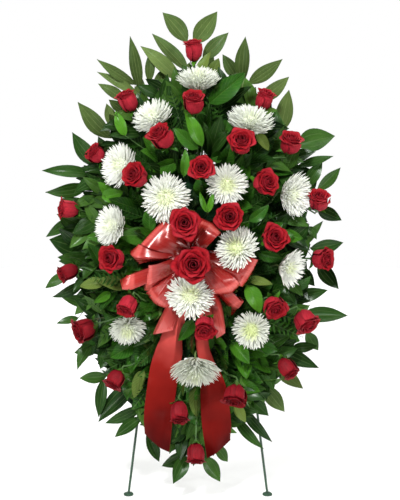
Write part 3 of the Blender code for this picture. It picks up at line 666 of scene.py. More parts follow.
# Which way each rose's head nods, the u and v of its axis, how far open it is and how big for its calyx.
# In hundredths
ROSE_FACES = (
    (-8, 93, 6, 106), (2, 74, 10, 107), (-42, 84, 8, 104), (32, 85, 6, 105), (-46, 60, 14, 100),
    (6, 42, 34, 92), (22, 74, 16, 100), (-72, 50, 20, 100), (2, 14, 55, 90), (-52, 32, 25, 100),
    (55, 16, 30, 96), (-95, 4, 12, 105), (8, 76, 22, 100), (-8, 8, 75, 97), (2, 0, 65, 95), (30, 26, 22, 93),
    (-52, 8, 26, 100), (-84, -34, 6, 103), (0, 0, 85, 100), (76, -6, 20, 96), (-36, -76, 12, 100),
    (20, -56, 30, 94), (-84, -32, 16, 97), (44, -74, 25, 96), (2, -62, 12, 100), (-46, -80, 14, 104),
    (52, -76, 6, 100), (-12, -86, 18, 104), (2, -90, 6, 100), (0, -96, 10, 100),
)
# Numbers of the roses whose velvet is the darker copy: painted shade
SHADED_ROSES = (18, 23, 26, 27, 28, 29, 30)


def build_rose(number):
    node = f"rose_{number:02d}"
    root, axis, widest, tip = flower_of(node)
    u, v, openness, size = np.array(ROSE_FACES[number - 1]) / 100
    radius = size * widest / 0.96
    centre = root + axis * (tip - 0.85 * radius)
    rng = np.random.default_rng(1000 + number)
    draw = rng.uniform
    nod = at(u, v, math.sqrt(max(0.0, 1 - u * u - v * v)))
    axes = basis(nod, unit(RIGHT + rng.normal(0, 0.5, 3)))
    facing = axes[:, 2]
    petals = Form()
    rose_head(petals, centre, axes, radius * (1.0 - 0.16 * openness), openness, number)
    HEADS.append((*centre, 0.95 * radius, 1.05 * radius))
    petals.piece(node + "_petals", [ROSE_SHADED if number in SHADED_ROSES else ROSE], "rose_petals")
    green = Form()
    neck = centre - facing * radius * 1.02
    green.tube(nodding_stem(root, axis, neck, facing, radius), 0.0021, 8, draw(0.3, 0.9))
    along_axis(green, centre, facing, radius, (-1.32, -1.24, -1.12, -1.0, -0.86),
               (0.09, 0.15, 0.19, 0.2, 0.3), 8, 0.6)
    sepals(green, centre, axes, radius, draw)
    green.piece(node + "_stem", [STEM, BROAD_LEAF], "leaves", replaces=(node,))


# Which way each spider mum's head nods, the u and v of its axis, how wide it is for its calyx, how far its
# heart has greened, how cupped it is, from a dome at 0, and how bright its white is painted, lower for
# painted shade. In hundredths
MUM_FACES = (
    (0, 87, 105, 84, 28, 54), (-38, 56, 104, 84, 25, 74), (12, 76, 106, 84, 22, 56),
    (-64, 20, 106, 86, 40, 100), (0, -6, 106, 91, 0, 100), (10, -12, 102, 94, 15, 100),
    (76, -14, 106, 86, 90, 95), (-70, 12, 108, 86, 40, 100), (-40, 30, 110, 95, 0, 100),
    (78, -20, 112, 90, 100, 100), (2, 34, 105, 92, 0, 100), (6, -66, 112, 90, 0, 70),
    (-22, -14, 110, 100, 20, 68), (0, -86, 102, 84, 0, 44),
)
FLORETS = 320
FLORET_STEPS = np.array([0.0, 0.24, 0.48, 0.72, 0.9, 1.0])
FLORET_WIDTHS = np.array([0.6, 0.75, 0.92, 1.02, 0.88, 0.22])


def build_mum(number):
    node = f"mum_{number:02d}"
    root, axis, widest, tip = flower_of(node)
    u, v, size, ripe, cup, painted_brightness = np.array(MUM_FACES[number - 1]) / 100
    radius = size * widest / 0.9
    draw = np.random.default_rng(2000 + number).uniform
    axes = basis(at(u, v, math.sqrt(1 - u * u - v * v)))
    facing = axes[:, 2]
    centre = root + axis * (tip - 0.45 * widest) - facing * 0.26 * radius * cup
    florets = Form()
    heart = np.array([-0.34, -0.22, 0.0, 0.14, 0.22, 0.27]) - 0.12 * cup
    # The heart's tint is dimmed by the flower's painted brightness as painted shade.
    along_axis(florets, centre, facing, radius, heart, (0.1, 0.26, 0.36, 0.32, 0.2, 0.05),
               16, 0.64 * painted_brightness, 0, 0.95 * ripe)
    start = draw(0, 6.3)
    count = FLORETS - int(70 * cup)
    for i in range(count):
        turned = start + i * GOLDEN_ANGLE
        floret(florets, centre, axes, radius, i / (count - 1), turned, (ripe, cup, painted_brightness), draw)
    HEADS.append((*centre, 0.95 * radius, 0.55 * radius))
    florets.piece(node + "_florets", [MUM], "mum_petals")
    green = Form()
    neck = centre - facing * radius * 0.5
    green.tube(nodding_stem(root, axis, neck, facing, radius * 0.5), 0.0022, 8, draw(0.3, 0.9))
    along_axis(green, centre, facing, radius, (-0.54, -0.5, -0.43, -0.34, -0.26),
               (0.05, 0.13, 0.19, 0.21, 0.12), 10, 0.6)
    green.piece(node + "_stem", [PALE_STEM], "leaves", replaces=(node,))


def floret(form, centre, axes, radius, share, angle, looks, draw):
    """One floret, sweeping from the calyx to its place on the flower's dome or cup: the rim's come first."""
    ripe, cup, painted_brightness = looks
    rise = math.asin(min(0.99, -0.04 + 1.03 * share + draw(-0.06, 0.06)))
    reach = radius * draw(0.86, 1.06)
    domed, cupped = 0.02 * radius + 0.48 * reach * math.sin(rise), radius * (0.34 - 0.06 * share)
    tip_out, tip_up = reach * math.cos(rise), domed + cup * (cupped - domed)
    base_out, base_up = radius * 0.1, radius * (0.26 * share - 0.5)
    k = FLORET_STEPS
    bend_out = base_out + (tip_out - base_out) * (0.58 - 0.24 * share)
    bend_up = base_up + (tip_up - base_up) * (0.42 + 0.36 * share)
    out, up = (base * (1 - k) ** 2 + 2 * bend * k * (1 - k) + tip * k ** 2
               for base, bend, tip in ((base_out, bend_out, tip_out), (base_up, bend_up, tip_up)))
    up = up + radius * draw(-0.04, 0.07) * ramp(k, 0.6, 1.0)
    spin = angle + draw(-0.06, 0.06) + draw(-0.12, 0.12) * k ** 2
    path = np.stack([out * np.cos(spin), out * np.sin(spin), up], axis=1)
    width = radius * (0.033 - 0.006 * share) * draw(0.8, 1.15) * FLORET_WIDTHS
    normal = at(-math.sin(rise) * math.cos(angle), -math.sin(rise) * math.sin(angle), math.cos(rise))
    # Each floret's tint: a random tone, dimmed by the flower's painted brightness as painted shade.
    form.tube(path @ axes.T + centre, width, 4, draw(0.76, 1.0) * painted_brightness, 0, share * ripe, 0.55,
              axes @ normal)


# --- Leaves ---


def leaf_grid(base, tip, width, normal, peak, fullness, arch, fold, twist, wave, phase, n, m):
    """A leaf blade from base to tip. fullness near 1 gives a blunt oval and near 2 a pointed lance."""
    length = np.linalg.norm(tip - base)
    x_axis = (tip - base) / length
    z_axis = unit(normal - x_axis * (normal @ x_axis))
    y_axis = np.cross(z_axis, x_axis)
    t, s = sheet_axes(n, m)
    a, b = peak * fullness, (1 - peak) * fullness
    outline = (np.maximum(t, 1e-6) / peak) ** a * (np.maximum(1 - t, 1e-6) / (1 - peak)) ** b
    half = width / 2 * np.maximum(outline, 0.05 * (1 - t))
    y = s * half * math.cos(fold)
    z = np.abs(s) * half * math.sin(fold) + arch * length * 4 * t * (1 - t)
    z = z + wave * length * np.sin(7 * t + 2.2 * s + phase) * s ** 2 * outline
    spin = twist * (t - 0.3)
    y, z = y * np.cos(spin) - (z - arch * length) * np.sin(spin) * np.abs(s), z + y * np.sin(spin)
    return base + x_axis * (t * length)[..., None] + y_axis * y[..., None] + z_axis * z[..., None]


# Where a blade is widest, how pointed, how far it may roll, arch and fold, from least to most, twist and wave
RIM_BLADE = (0.43, 1.95, 0.5, (-0.02, 0.1), (0.08, 0.35), 0.35, 0.012)
BROAD_BLADE = (0.4, 1.55, 0.6, (0.0, 0.12), (0.15, 0.6), 0.4, 0.025)


def leaf(form, blade, base, tip, width, draw, normal=OUT, slot=0, tint=None, n=11, m=7):
    """A leaf: a rim blade is a slender lance, a broad one a pointed oval."""
    peak, fullness, roll, arch, fold, twist, wave = blade
    facing = turn(normal, tip - base, draw(-roll, roll))
    grid = leaf_grid(base, tip, width, facing, peak, fullness, draw(*arch), draw(*fold),
                     draw(-twist, twist), wave, draw(0, 6), n, m)
    form.sheet(grid, LEAF_THICKNESS, draw(0.15, 0.75) if tint is None else tint, slot)


# --- Leaf fans ---

# Where each fan's branch starts and ends, below which v its leaves are glossy, which of those are olive all
# the same, and its leaves as base u, base v, tip u, tip v and width. In millimetres
FANS = {
    "top": ((-8, 230), (-12, 500), 0, (), (
        (-26, 530, -86, 600, 42), (-9, 525, 47, 600, 42), (-24, 458, -112, 550, 34), (12, 486, 74, 552, 34),
        (-44, 435, -139, 519, 36), (108, 430, 115, 538, 36), (96, 440, 60, 500, 28),
        (-118, 430, -113, 511, 22), (122, 428, 205, 486, 34), (16, 440, 36, 505, 34),
        (-100, 400, -82, 470, 32), (80, 380, 110, 470, 34), (-36, 420, -20, 480, 30))),
    "upper_left": ((-55, 150), (-200, 330), 260, (), (
        (-142, 415, -163, 540, 28), (-149, 425, -243, 485, 24), (-145, 402, -245, 458, 22),
        (-174, 385, -243, 428, 26), (-179, 360, -216, 388, 22), (-210, 295, -288, 381, 42),
        (-205, 318, -223, 382, 30), (-240, 228, -304, 308, 42), (-255, 208, -378, 216, 29),
        (-268, 180, -369, 163, 34), (-185, 300, -214, 352, 34), (-150, 370, -135, 440, 30),
        (-222, 205, -298, 200, 36))),
    "lower_left": ((-55, -60), (-270, -30), 9000, (), (
        (-292, 108, -371, 56, 26), (-270, 25, -358, 50, 54), (-310, -30, -372, -69, 24),
        (-275, -50, -355, -91, 26), (-243, -116, -334, -90, 29), (-289, -140, -342, -153, 18),
        (-250, -190, -292, -264, 32), (-255, 75, -340, 110, 44), (-262, 60, -335, 70, 48),
        (-250, 110, -330, 150, 40), (-240, -205, -300, -225, 34))),
    "bottom": ((-10, -230), (-25, -450), 9000, (), (
        (-220, -280, -288, -286, 28), (-150, -296, -242, -393, 42), (-228, -286, -241, -382, 28),
        (-137, -355, -226, -396, 29), (-137, -382, -202, -430, 29), (-124, -420, -95, -492, 29),
        (-32, -468, -88, -499, 34), (-28, -475, -59, -538, 34), (15, -475, 54, -538, 34),
        (-45, -400, -62, -462, 46), (-18, -400, -30, -470, 44), (20, -405, 6, -470, 34))),
    "lower_right": ((55, -120), (215, -250), 9000, (4, 5), (
        (40, -450, 72, -493, 27), (90, -380, 158, -455, 26), (108, -360, 180, -443, 26),
        (110, -318, 172, -377, 40), (160, -305, 211, -368, 36), (190, -262, 253, -309, 32),
        (185, -215, 293, -261, 34), (262, -175, 293, -220, 28), (250, -134, 362, -134, 40),
        (222, -96, 315, -72, 32), (225, -215, 290, -208, 24))),
    "upper_right": ((55, 90), (250, 170), 300, (), (
        (292, -10, 340, -70, 36), (252, -17, 283, -64, 28), (272, 28, 353, 43, 34), (235, 30, 304, 95, 28),
        (262, 80, 286, 50, 24), (290, 122, 347, 96, 32), (290, 170, 345, 224, 30), (262, 178, 302, 239, 31),
        (240, 226, 326, 250, 22), (240, 280, 333, 302, 54), (150, 388, 220, 443, 34),
        (200, 310, 219, 410, 38), (175, 300, 205, 370, 36), (215, 200, 285, 215, 40),
        (205, 232, 284, 262, 38), (232, 150, 292, 212, 42))),
}


def build_fan(name, plan, seed):
    """A fan of the rim: its branch, and a twig and a leaf for each row of the plan."""
    root, end, glossy_below, olive, leaves = plan
    draw = np.random.default_rng(seed).uniform
    form = Form(True)
    root, end = (at(u / 1000, v / 1000, LEAF_W) for u, v in (root, end))
    inside = root - unit(end - root) * 0.025
    form.tube(curve_through([inside, root, (root + end) / 2 + OUT * 0.004, end], 12),
              np.linspace(0.0018, 0.0009, 12), 6, 0.3, 1)
    along = end - root
    for i, (base_u, base_v, tip_u, tip_v, width) in enumerate(np.array(leaves) / 1000):
        depth = LEAF_W + 0.0035 * ((i % 3) - 1)
        base = at(base_u, base_v, depth)
        tip = at(tip_u, tip_v, depth + draw(-0.022, 0.03))
        nearest = float((base - root) @ along / (along @ along))
        fork = root + along * max(0.06, min(0.97, nearest * 0.75 - 0.05))
        form.tube(curve_through([fork, (fork + base) / 2 + OUT * 0.003, base + (tip - base) * 0.03], 7),
                  np.linspace(0.0012, 0.0007, 7), 6, 0.3, 1)
        glossy = base_v < glossy_below / 1000 and i not in olive
        leaf(form, RIM_BLADE, base, tip, width * 1.12, draw, slot=2 if glossy else 0)
    form.piece("rim_leaves_" + name, [RIM_LEAF, TWIG, GLOSSY_LEAF], "leaves", replaces=("leaf_fan_" + name,))


def foam_exit(u, v, w):
    """Where a stem that heads for a place comes out of the foam: on the front or on a side face."""
    if abs(u) < FOAM_HALF.x * 1.3 and abs(v) < FOAM_HALF.y:
        return at(np.clip(u, -0.05, 0.05) * 0.8, v * 0.9, FOAM_FRONT_W - 0.01)
    start = at(0, np.clip(v * 0.6, -0.19, 0.19), FOAM_W)
    towards = at(u, v, w) - start
    reach = min(FOAM_HALF.x / max(abs(towards[0]), 1e-6),
                (FOAM_HALF.y - abs(start[1])) / max(abs(towards[1]), 1e-6))
    return start + towards * min(reach, 0.9) * 0.92


# How far the mass of leaves reaches from the middle of the spray, every 15 degrees round from the right
MASS = (0.262, 0.27, 0.289, 0.35, 0.392, 0.446, 0.466, 0.453, 0.392, 0.368, 0.331, 0.338,
        0.333, 0.299, 0.331, 0.345, 0.35, 0.445, 0.49, 0.405, 0.355, 0.319, 0.294, 0.27)


def mass_radius(angle):
    places = np.radians(np.arange(25) * 15.0)
    return float(np.interp(angle % (2 * math.pi), places, MASS + MASS[:1]))


def kept_in(tip, slack=0.006):
    """A leaf's tip, drawn in if it would stand out of the mass of leaves."""
    reach = math.hypot(tip[0], tip[1])
    limit = mass_radius(math.atan2(tip[1], tip[0])) + slack
    share = min(1.0, limit / max(reach, 1e-6))
    return tip * at(share, share, 1)


def mass_place(share, angle):
    """A place in the mass of leaves: spread evenly over an ellipse, then drawn in to the outline."""
    place = kept_in(at(0.315 * share * math.cos(angle), 0.475 * share * math.sin(angle), 0), -0.03)
    return place[0], place[1]


def spiral_place(i, count, reach=1.0, start=0.0):
    """The place of branch i of count that are spread evenly over the mass."""
    return mass_place(math.sqrt((i + 0.5) / count) * reach, i * GOLDEN_ANGLE + start)


def over_foam(u, v, w):
    """How far out something reaches that may not lie inside the foam."""
    inside = abs(u) < FOAM_HALF.x + 0.035 and abs(v) < FOAM_HALF.y + 0.03
    return max(w, FOAM_FRONT_W + 0.022) if inside else w


def outwards(u, v):
    """Away from the middle of the spray, 1 long at the rim of its oval."""
    return at(u / 0.33, v / 0.47, 0)


def sprig(form, end, w_face, blade, leaves, length, width, rng, tints, bare=0.35):
    """A branch from the foam to a place in the mass, its leaves kept inside the outline."""
    draw = rng.uniform
    u, v = end
    w_face = over_foam(u, v, w_face)
    start = foam_exit(u, v, w_face)
    end = at(u, v, w_face)
    outward = unit(outwards(u, v) + rng.normal(0, 0.15, 3))
    normal = unit(OUT + outward * draw(0.1, 0.6))
    along = unit(end - start)
    side = unit(np.cross(normal, along))
    reach = np.linalg.norm(end - start)
    t = np.linspace(0, 1, 9)
    sway = draw(-0.06, 0.06) * reach
    path = start + np.outer(t, end - start) + np.outer(np.sin(np.pi * t), side * sway + normal * 0.02 * reach)
    form.tube(path, np.linspace(0.0014, 0.0009, 9), 6, draw(0.2, 0.8), 1)
    for i in range(leaves + 1):
        last = i == leaves
        place = 1.0 if last else bare + (1 - bare) * i / leaves
        foot = np.array([np.interp(place, t, path[:, k]) for k in range(3)])
        angle = 0.0 if last else (1 if i % 2 else -1) * draw(0.5, 1.05)
        direction = unit(turn(along, normal, angle) + normal * draw(-0.15, 0.3))
        size = length * draw(0.8, 1.15)
        base = foot + direction * length * 0.09
        tip = kept_in(base + direction * size)
        if np.linalg.norm(tip - base) < 0.6 * size:
            continue
        form.tube(np.array([foot, (foot + base) / 2, base]), 0.0008, 4, 0.5, 1)
        broad = width * draw(0.8, 1.15)
        leaf(form, blade, base, tip, broad, draw, normal, 0, draw(*tints), 8, 5)


BACK_BRANCHES = 112
EDGE_BRANCHES = 68
MIDDLE_BRANCHES = 52
FRONDS = 84
FROND_PAIRS = 17


def build_mass():
    """Layers of branches: glossy narrow leaves at the back and round the edge, broad ones further in."""
    rng = np.random.default_rng(77)
    draw = rng.uniform
    back, edge, mid = Form(True), Form(True), Form(True)
    for i in range(BACK_BRANCHES):
        end = spiral_place(i, BACK_BRANCHES)
        # The back branches take the darkest tints: painted shade deep in the mass.
        tint = draw(0.0, 0.3)
        sprig(back, end, draw(0.028, 0.05), RIM_BLADE, 5, 0.088, 0.038, rng, (tint, tint + 0.15))
    for i in range(EDGE_BRANCHES):
        angle = i * 2 * math.pi / EDGE_BRANCHES
        end = mass_place(draw(0.78, 1.04), angle + draw(-0.04, 0.04))
        tint = draw(0.0, 0.85)
        sprig(edge, end, draw(0.05, 0.078), RIM_BLADE, 4, 0.08, 0.036, rng, (tint, tint + 0.2), 0.55)
    for i in range(MIDDLE_BRANCHES):
        end = spiral_place(i, MIDDLE_BRANCHES, 0.8, 1.0)
        w_face = max(0.06, dome(*end) - draw(0.085, 0.115))
        tint = draw(0.0, 0.55)
        sprig(mid, end, w_face, BROAD_BLADE, 4, 0.074, 0.045, rng, (tint, tint + 0.15), 0.5)
    back.piece("back_branches", [GLOSSY_LEAF, TWIG], "leaves")
    edge.piece("edge_branches", [GLOSSY_LEAF, TWIG], "leaves")
    mid.piece("middle_branches", [BROAD_LEAF, TWIG], "leaves")


def fern_frond(form, start, end, width, draw, normal):
    """A feathery frond: a rib with pairs of narrow leaflets that shorten to its tip."""
    t = np.linspace(0, 1, FROND_PAIRS + 1)[:, None]
    droop = draw(-0.05, 0.1) * np.linalg.norm(end - start)
    path = start + (end - start) * t + unit(normal) * droop * np.sin(np.pi * t)
    form.tube(path, np.linspace(0.0011, 0.0004, FROND_PAIRS + 1), 4, 0.4, 1)
    tint = draw(0.0, 1.0)
    for i in range(3, FROND_PAIRS + 1):
        place = i / FROND_PAIRS
        size = width * math.sin(math.pi * min(1, 0.25 + 0.78 * place)) ** 0.8 + 0.004
        along = unit(path[i] - path[i - 1])
        for hand in (-1, 1):
            direction = unit(turn(along, normal, hand * 1.05) + unit(normal) * draw(-0.3, 0.3))
            facing = turn(normal, direction, draw(-0.6, 0.6))
            form.tube(path[i] + np.outer([0.0, 0.3, 0.7, 1.0], direction * size),
                      np.array([0.04, 0.13, 0.11, 0.01]) * size, 4, tint, 0, 0.5, 0.22, facing)


def build_fern():
    draw = np.random.default_rng(55).uniform
    form = Form(True)
    for i in range(FRONDS):
        u, v = spiral_place(i, FRONDS, 0.78, 0.4)
        w_face = max(0.055, dome(u, v) - draw(0.04, 0.08))
        heading = draw(0, 2 * math.pi)
        outward = unit(outwards(u, v) + at(math.cos(heading) * 0.6, math.sin(heading) * 0.6, 0))
        end = kept_in(at(u, v, w_face) + outward * draw(0.05, 0.1), 0.0)
        fern_frond(form, foam_exit(u, v, w_face), end, 0.026, draw, unit(OUT + outward * 0.3))
    form.piece("fern_fronds", [FERN_LEAF, STEM], "leaves")


# --- Single leaves ---

AMONG_FLOWERS_W = 0.14  # leaves that start further out than this are not pressed behind the flowers
# Leaves that show between the flowers: base u, base v, tip u, tip v, width, w and tint. In thousandths
BROAD_LEAVES = (
    (27, 372, 113, 446, 60, 112, 420), (10, 268, -30, 353, 36, 150, 850), (0, 262, -57, 312, 36, 145, 600),
    (-46, 232, -117, 214, 44, 150, 600), (-33, 196, -29, 261, 25, 168, 700),
    (112, 185, 116, 236, 30, 150, 600), (22, 112, 4, 160, 16, 180, 900), (24, 112, 36, 160, 16, 182, 950),
    (120, 92, 166, 130, 32, 165, 500), (-112, 68, -116, 126, 34, 150, 550),
    (-104, 60, -186, 58, 48, 145, 600), (-172, 296, -196, 356, 28, 105, 950),
    (-200, 140, -238, 186, 32, 105, 800), (-208, -76, -248, -100, 26, 105, 750),
    (-66, -85, -124, -98, 40, 130, 500), (-12, -140, -46, -188, 36, 155, 500),
    (34, -178, 68, -246, 44, 125, 750), (74, -190, 122, -246, 44, 122, 700),
    (116, -58, 146, -124, 42, 150, 850), (140, 20, 200, 6, 34, 140, 450),
    (150, -200, 190, -215, 34, 110, 500), (-110, -210, -160, -250, 50, 100, 150),
    (-70, -380, -60, -440, 40, 75, 250), (70, 330, 60, 290, 34, 140, 400), (196, 66, 248, 52, 36, 126, 700),
    (-228, 150, -176, 162, 36, 122, 850), (-114, 2, -160, -22, 36, 128, 400),
    (30, 240, 62, 250, 34, 150, 350), (-232, -10, -262, 40, 36, 105, 250),
)
OLIVE_LEAVES = (
    (-222, -54, -281, -62, 33, 112, 500), (-168, -64, -242, -48, 38, 120, 450),
    (118, -44, 176, -56, 24, 152, 450), (-128, -262, -152, -328, 36, 98, 250),
    (-4, -300, -2, -374, 36, 106, 150), (88, -344, 113, -386, 26, 96, 750), (0, 440, 30, 500, 28, 70, 550),
    (-90, 20, -76, 45, 20, 178, 600), (140, 300, 168, 260, 28, 120, 600), (20, 424, 50, 486, 40, 64, 300),
    (-116, -200, -146, -254, 34, 104, 0), (-88, -98, -112, -150, 32, 128, 100),
)


def build_single_leaves():
    draw = np.random.default_rng(99).uniform
    form = Form()
    for slot, rows in ((0, BROAD_LEAVES), (1, OLIVE_LEAVES)):
        for base_u, base_v, tip_u, tip_v, width, w, tint in np.array(rows) / 1000:
            form.pressed = w < AMONG_FLOWERS_W
            base, tip = at(base_u, base_v, w), at(tip_u, tip_v, w + draw(-0.01, 0.012))
            start = foam_exit(base_u, base_v, w)
            form.tube(curve_through([start, (start + base) / 2, base], 6), 0.0012, 6, 0.5, 2)
            leaf(form, BROAD_BLADE, base, tip, width, draw, OUT, slot, tint)
    form.piece("single_leaves", [BROAD_LEAF, OLIVE_LEAF, STEM], "leaves")


# --- Bow ---

RIBBON_WIDTH = 0.07
PINCHED = 0.018
KNOT = at(-0.012, 0.016, 0.155)


def section(widths, curl, pleats, phase, ridge):
    """How far a ribbon's section stands off its own plane, so that a narrowed ribbon keeps its flat width.

    Where curl is 1 the spare width goes into two flat faces that meet at a ridge, where it is 0 into pleats.
    """
    s = np.linspace(-1, 1, 25)[None, :]
    spare = np.sqrt(np.maximum(RIBBON_WIDTH ** 2 - widths ** 2, 0))[:, None]
    wave = np.sin(math.pi * (s * pleats + phase))
    wave = 0.2 * wave + 1.6 * np.arcsin(wave * 0.998) / math.pi
    tent = np.minimum((1 + s) / (1 + ridge), (1 - s) / (1 - ridge))
    tent = 0.47 * (0.8 * tent + 0.2 * (1 - s ** 2)) * math.sqrt(1 - ridge ** 2)
    return spare * (curl[:, None] * tent + (1 - curl[:, None]) * wave / (4 * pleats))


def ribbon(name, line, across, widths, curl, pleats, draw, cut=0.0, material=SATIN, side=1):
    """A satin ribbon on a centre line, with soft ripples. cut slants its far end, side turns it over."""
    tangent = unit_rows(np.gradient(line, axis=0))
    across = unit_rows(across - tangent * np.sum(across * tangent, axis=1, keepdims=True) * 0.5)
    normal = unit_rows(np.cross(across, tangent))
    off = side * section(widths, curl, pleats, draw(0, 2), draw(-0.45, 0.45))
    k, s = sheet_axes(*off.shape)
    off = off + 0.0018 * np.sin(2.1 * s + draw(0, 6)) * np.sin(9 * k + draw(0, 6))
    slant = cut * s * ramp(k, 0.86, 1.0)
    grid = line[:, None] + across[:, None] * (widths[:, None] / 2 * s)[..., None]
    grid = grid + normal[:, None] * off[..., None] + tangent[:, None] * slant[..., None]
    form = Form()
    form.sheet(grid, RIBBON_THICKNESS, draw(0, 1))
    obj = form.piece(name, [material], "ribbon_satin")


def bow_loop(name, plan, draw):
    """A loop: out from the knot underneath, over a fold at its tip, and back on top."""
    fold_a, fold_b, thickness = (np.array(part) / 1000 for part in plan)
    tip = (fold_a + fold_b) / 2
    reach = tip - KNOT
    lift = unit(OUT - unit(reach) * (OUT @ unit(reach)))
    turns = ((0.03, -0.2), (0.33, -0.36), (0.66, -0.48), (0.93, -0.42), (0.99, -0.22), (1.0, 0.05),
             (0.985, 0.28), (0.955, 0.44), (0.9, 0.62), (0.86, 0.72), (0.8, 0.76), (0.6, 0.74),
             (0.33, 0.6), (0.03, 0.25))
    line = curve_through([KNOT + reach * out + lift * thickness * up for out, up in turns], 48)
    share = np.clip((line - KNOT) @ reach / (reach @ reach), 0, 1)
    widths = PINCHED + (np.linalg.norm(fold_b - fold_a) - PINCHED) * share ** 0.65
    base = unit(np.cross(lift, reach))
    fold = unit(fold_b - fold_a)
    fold = fold if fold @ base > 0 else -fold
    blend = ramp(share, 0.0, 0.6)[:, None]
    ribbon(name, line, base * (1 - blend) + fold * blend, widths, 0.1 + ramp(share, 0.15, 0.55) * 0.8,
           draw(1.2, 1.7), draw)


def bow_tail(name, plan, draw):
    """A hanging ribbon through u, v, w stations, each with a width and a turn about its own length."""
    cut, paint, stations = plan
    rows = curve_through(np.array(stations) / 1000, 60)
    line, widths, turns = rows[:, :3], np.clip(rows[:, 3], PINCHED, RIBBON_WIDTH), rows[:, 4]
    tangent = unit_rows(np.gradient(line, axis=0))
    across = unit_rows(np.cross(OUT, tangent))
    across = np.array([turn(a, t, angle) for a, t, angle in zip(across, tangent, turns)])
    place = np.linspace(0, 1, 60)
    line = line + OUT * (0.004 * np.sin(14 * place + draw(0, 6)) * ramp(place, 0.2, 0.5))[:, None]
    curl = 0.15 + 0.75 * ramp(place, 0.15, 0.4)
    ribbon(name, line, across, widths, curl, 1.5, draw, cut / 1000, paint, -1)


# Each loop's fold line at its tip, from one edge of the ribbon to the other, and how thick the loop is. In
# millimetres
LOOPS = {
    "upper_left": ((-80, 94, 174), (-133, 38, 184), 26),
    "far_left": ((-137, 36, 172), (-139, -6, 146), 22),
    "mid_left": ((-108, -16, 192), (-122, -66, 150), 22),
    "low_left": ((-163, -38, 168), (-167, -68, 140), 14),
    "wedge": ((-122, -77, 150), (-68, -114, 160), 18),
    "upper_right": ((8, 92, 156), (50, 64, 198), 20),
    "right": ((142, 1, 176), (104, -62, 172), 26),
    "low_right": ((40, -78, 186), (99, -55, 192), 22),
    "small": ((98, -94, 176), (80, -123, 120), 18),
    "top": ((-52, 84, 160), (4, 86, 158), 18),
}
# How far each tail's end is cut on the slant, its satin, and its stations: u, v, w, width and turn. In
# thousandths of a metre or radian
TAILS = {
    "long_left": (20, SATIN_TAIL, (
        (-14, 12, 150, 18, 0), (-34, -45, 150, 36, 100), (-52, -120, 148, 50, 100), (-61, -180, 138, 50, 0),
        (-68, -215, 127, 64, 0), (-81, -270, 112, 70, -100), (-93, -360, 99, 70, 0),
        (-98, -436, 90, 62, 200))),
    "long_right": (-18, SATIN_TAIL, (
        (-8, 12, 150, 18, 0), (16, -45, 146, 30, 200), (24, -110, 138, 36, 800), (18, -180, 126, 30, 1100),
        (22, -235, 117, 42, 700), (36, -300, 106, 62, 200), (44, -385, 97, 70, 0), (50, -452, 90, 60, -200))),
    "short_left": (-19, SATIN_END, (
        (-16, 12, 152, 18, 0), (-36, -45, 160, 30, 0), (-58, -110, 164, 34, 200), (-82, -168, 156, 46, 500))),
    "short_right": (-20, SATIN_END, (
        (-8, 12, 152, 18, 0), (20, -50, 160, 26, 0), (42, -105, 164, 28, -300), (52, -160, 160, 28, -500))),
}


def build_bow():
    knot = Form()
    lengths = np.linspace(-1, 1, 9)
    core = KNOT + OUT * lengths[:, None] * 0.016
    knot.tube(core, 0.013 * np.sqrt(np.clip(1.02 - (lengths * 0.95) ** 2, 0.05, 1)), 12, 0.5)
    pick = curve_through([at(KNOT[0], KNOT[1], FOAM_FRONT_W - 0.025), KNOT - OUT * 0.012], 5)
    knot.tube(pick, 0.0024, 8, 0.5, 1)
    knot.piece("bow_knot", [SATIN, TWIG], "ribbon_satin", replaces=("bow_ribbon",))
    for number, (name, plan) in enumerate(LOOPS.items()):
        bow_loop("bow_loop_" + name, plan, np.random.default_rng(300 + number).uniform)
    for number, (name, plan) in enumerate(TAILS.items()):
        bow_tail("bow_tail_" + name, plan, np.random.default_rng(400 + number).uniform)


# --- Easel, foam and cage ---


def dress_cad_nodes():
    """The easel, foam and cage keep their CAD shapes and get their materials."""
    paints = {name: EASEL_PAINT for name in NODES if name.startswith("easel")}
    for name, material in (paints | {"foam_block": FOAM, "foam_cage": CAGE}).items():
        NODES[name].data.materials.clear()
        NODES[name].data.materials.append(material)


# --- Stage ---

FLOOR_RADIUS = 2.2


def floor_paint():
    paint = Paint("pale_floor", {"Roughness": 0.9, "Specular IOR Level": 0.1})
    colour = (0.93, 0.93, 0.92)
    paint.set("Base Color", paint.mix(paint.noise(0.8, 2.0), rgb(*colour), rgb(*[c * 0.985 for c in colour])))
    return paint.material


def add_floor():
    """A round pale floor."""
    angles = np.linspace(0, 2 * math.pi, 96, endpoint=False)
    rim = [(FLOOR_RADIUS * math.cos(a), FLOOR_RADIUS * math.sin(a) + 0.3, 0.0) for a in angles]
    mesh = bpy.data.meshes.new("floor")
    mesh.from_pydata(rim, [], [list(range(96))])
    mesh.materials.append(floor_paint())
    put("floor", mesh)


def looking(direction):
    """The rotation of a light or camera that looks along a direction."""
    return Vector(direction).to_track_quat("-Z", "Y").to_euler()


def add_light(name, place, target, size, power, height=None):
    """A round soft light, or an upright oblong one if it has a height."""
    light = bpy.data.lights.new(name, "AREA")
    light.shape = "RECTANGLE" if height else "DISK"
    light.size = size
    light.size_y = height or size
    light.energy = power
    obj = put(name, light)
    obj.location = place
    obj.rotation_euler = looking(Vector(target) - Vector(place))


ROOM_GIVES = 0.25  # how brightly the white room lights things
ROOM_MIRRORED = 0.1  # how brightly it is mirrored in glossy faces


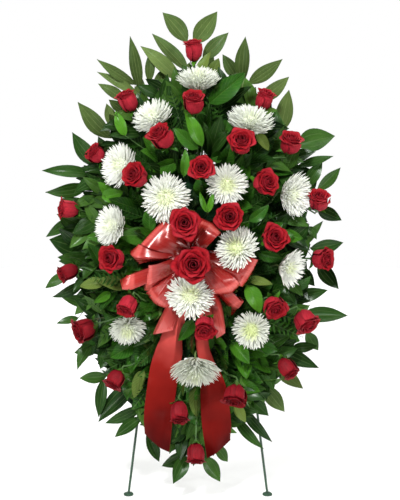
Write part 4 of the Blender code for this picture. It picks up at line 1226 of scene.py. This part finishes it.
def add_lights():
    """Soft lights high in front, tall ones at both sides, one from behind and one on the floor behind."""
    middle = (0, 0, 0.6)
    add_light("key", (-0.9, -2.95, 3.4), middle, 0.7, 130)
    add_light("fill", (2.3, -2.6, 2.4), middle, 0.7, 26)
    add_light("left_strip", (-2.9, -1.9, 1.5), middle, 0.25, 42, 2.0)
    add_light("right_strip", (2.9, -1.9, 1.5), middle, 0.25, 42, 2.0)
    add_light("top", (0.2, -0.4, 3.6), middle, 1.6, 12)
    add_light("behind", (-0.5, 2.4, 3.3), middle, 2.4, 32)
    add_light("floor_wash", (0.3, 1.7, 3.4), (0.3, 1.7, 0.0), 2.6, 84)


def add_room():
    """A white room: how brightly it lights things, is mirrored and is seen are three different numbers."""
    room = bpy.data.worlds.new("studio")
    room.use_nodes = True
    nodes, links = room.node_tree.nodes, room.node_tree.links
    ray = nodes.new("ShaderNodeLightPath")
    shown = nodes["Background"]
    for output, strength in ((None, ROOM_GIVES), ("Is Glossy Ray", ROOM_MIRRORED), ("Is Camera Ray", 1.0)):
        seen = nodes.new("ShaderNodeBackground") if output else shown
        seen.inputs[0].default_value = rgb(1.0, 1.0, 1.0)
        seen.inputs[1].default_value = strength
        if output:
            both = nodes.new("ShaderNodeMixShader")
            for socket, source in enumerate((ray.outputs[output], shown.outputs[0], seen.outputs[0])):
                links.new(source, both.inputs[socket])
            shown = both
    links.new(shown.outputs[0], nodes["World Output"].inputs[0])
    bpy.context.scene.world = room
    bpy.context.scene.view_settings.view_transform = "Standard"


CAMERA_DISTANCE = 3.6
LOOKED_AT = (0.005, 0.0245)  # u and v of the middle of the picture
FRAME_HEIGHT = 1.225  # how much of the leaning plane the picture's height takes in
SENSOR = 36.0


def add_camera():
    """The camera looks square on to the leaning easel, from a little above the middle of the spray."""
    camera = bpy.data.cameras.new("camera")
    camera.sensor_width = SENSOR
    camera.lens = SENSOR / 2 / (FRAME_HEIGHT / 2 / CAMERA_DISTANCE)
    obj = put("camera", camera)
    aim, place = world([[*LOOKED_AT, 0.0], [*LOOKED_AT, CAMERA_DISTANCE]])
    obj.location = place
    obj.rotation_euler = looking(aim - place)
    bpy.context.scene.camera = obj


# --- Build ---

add_camera()
dress_cad_nodes()
for rose_number in range(1, len(ROSE_FACES) + 1):
    build_rose(rose_number)
for mum_number in range(1, len(MUM_FACES) + 1):
    build_mum(mum_number)
for fan_number, (fan_name, fan_plan) in enumerate(FANS.items()):
    build_fan(fan_name, fan_plan, 500 + fan_number)
build_mass()
build_fern()
build_single_leaves()
build_bow()
add_floor()
add_lights()
add_room()

bpy.context.view_layer.update()
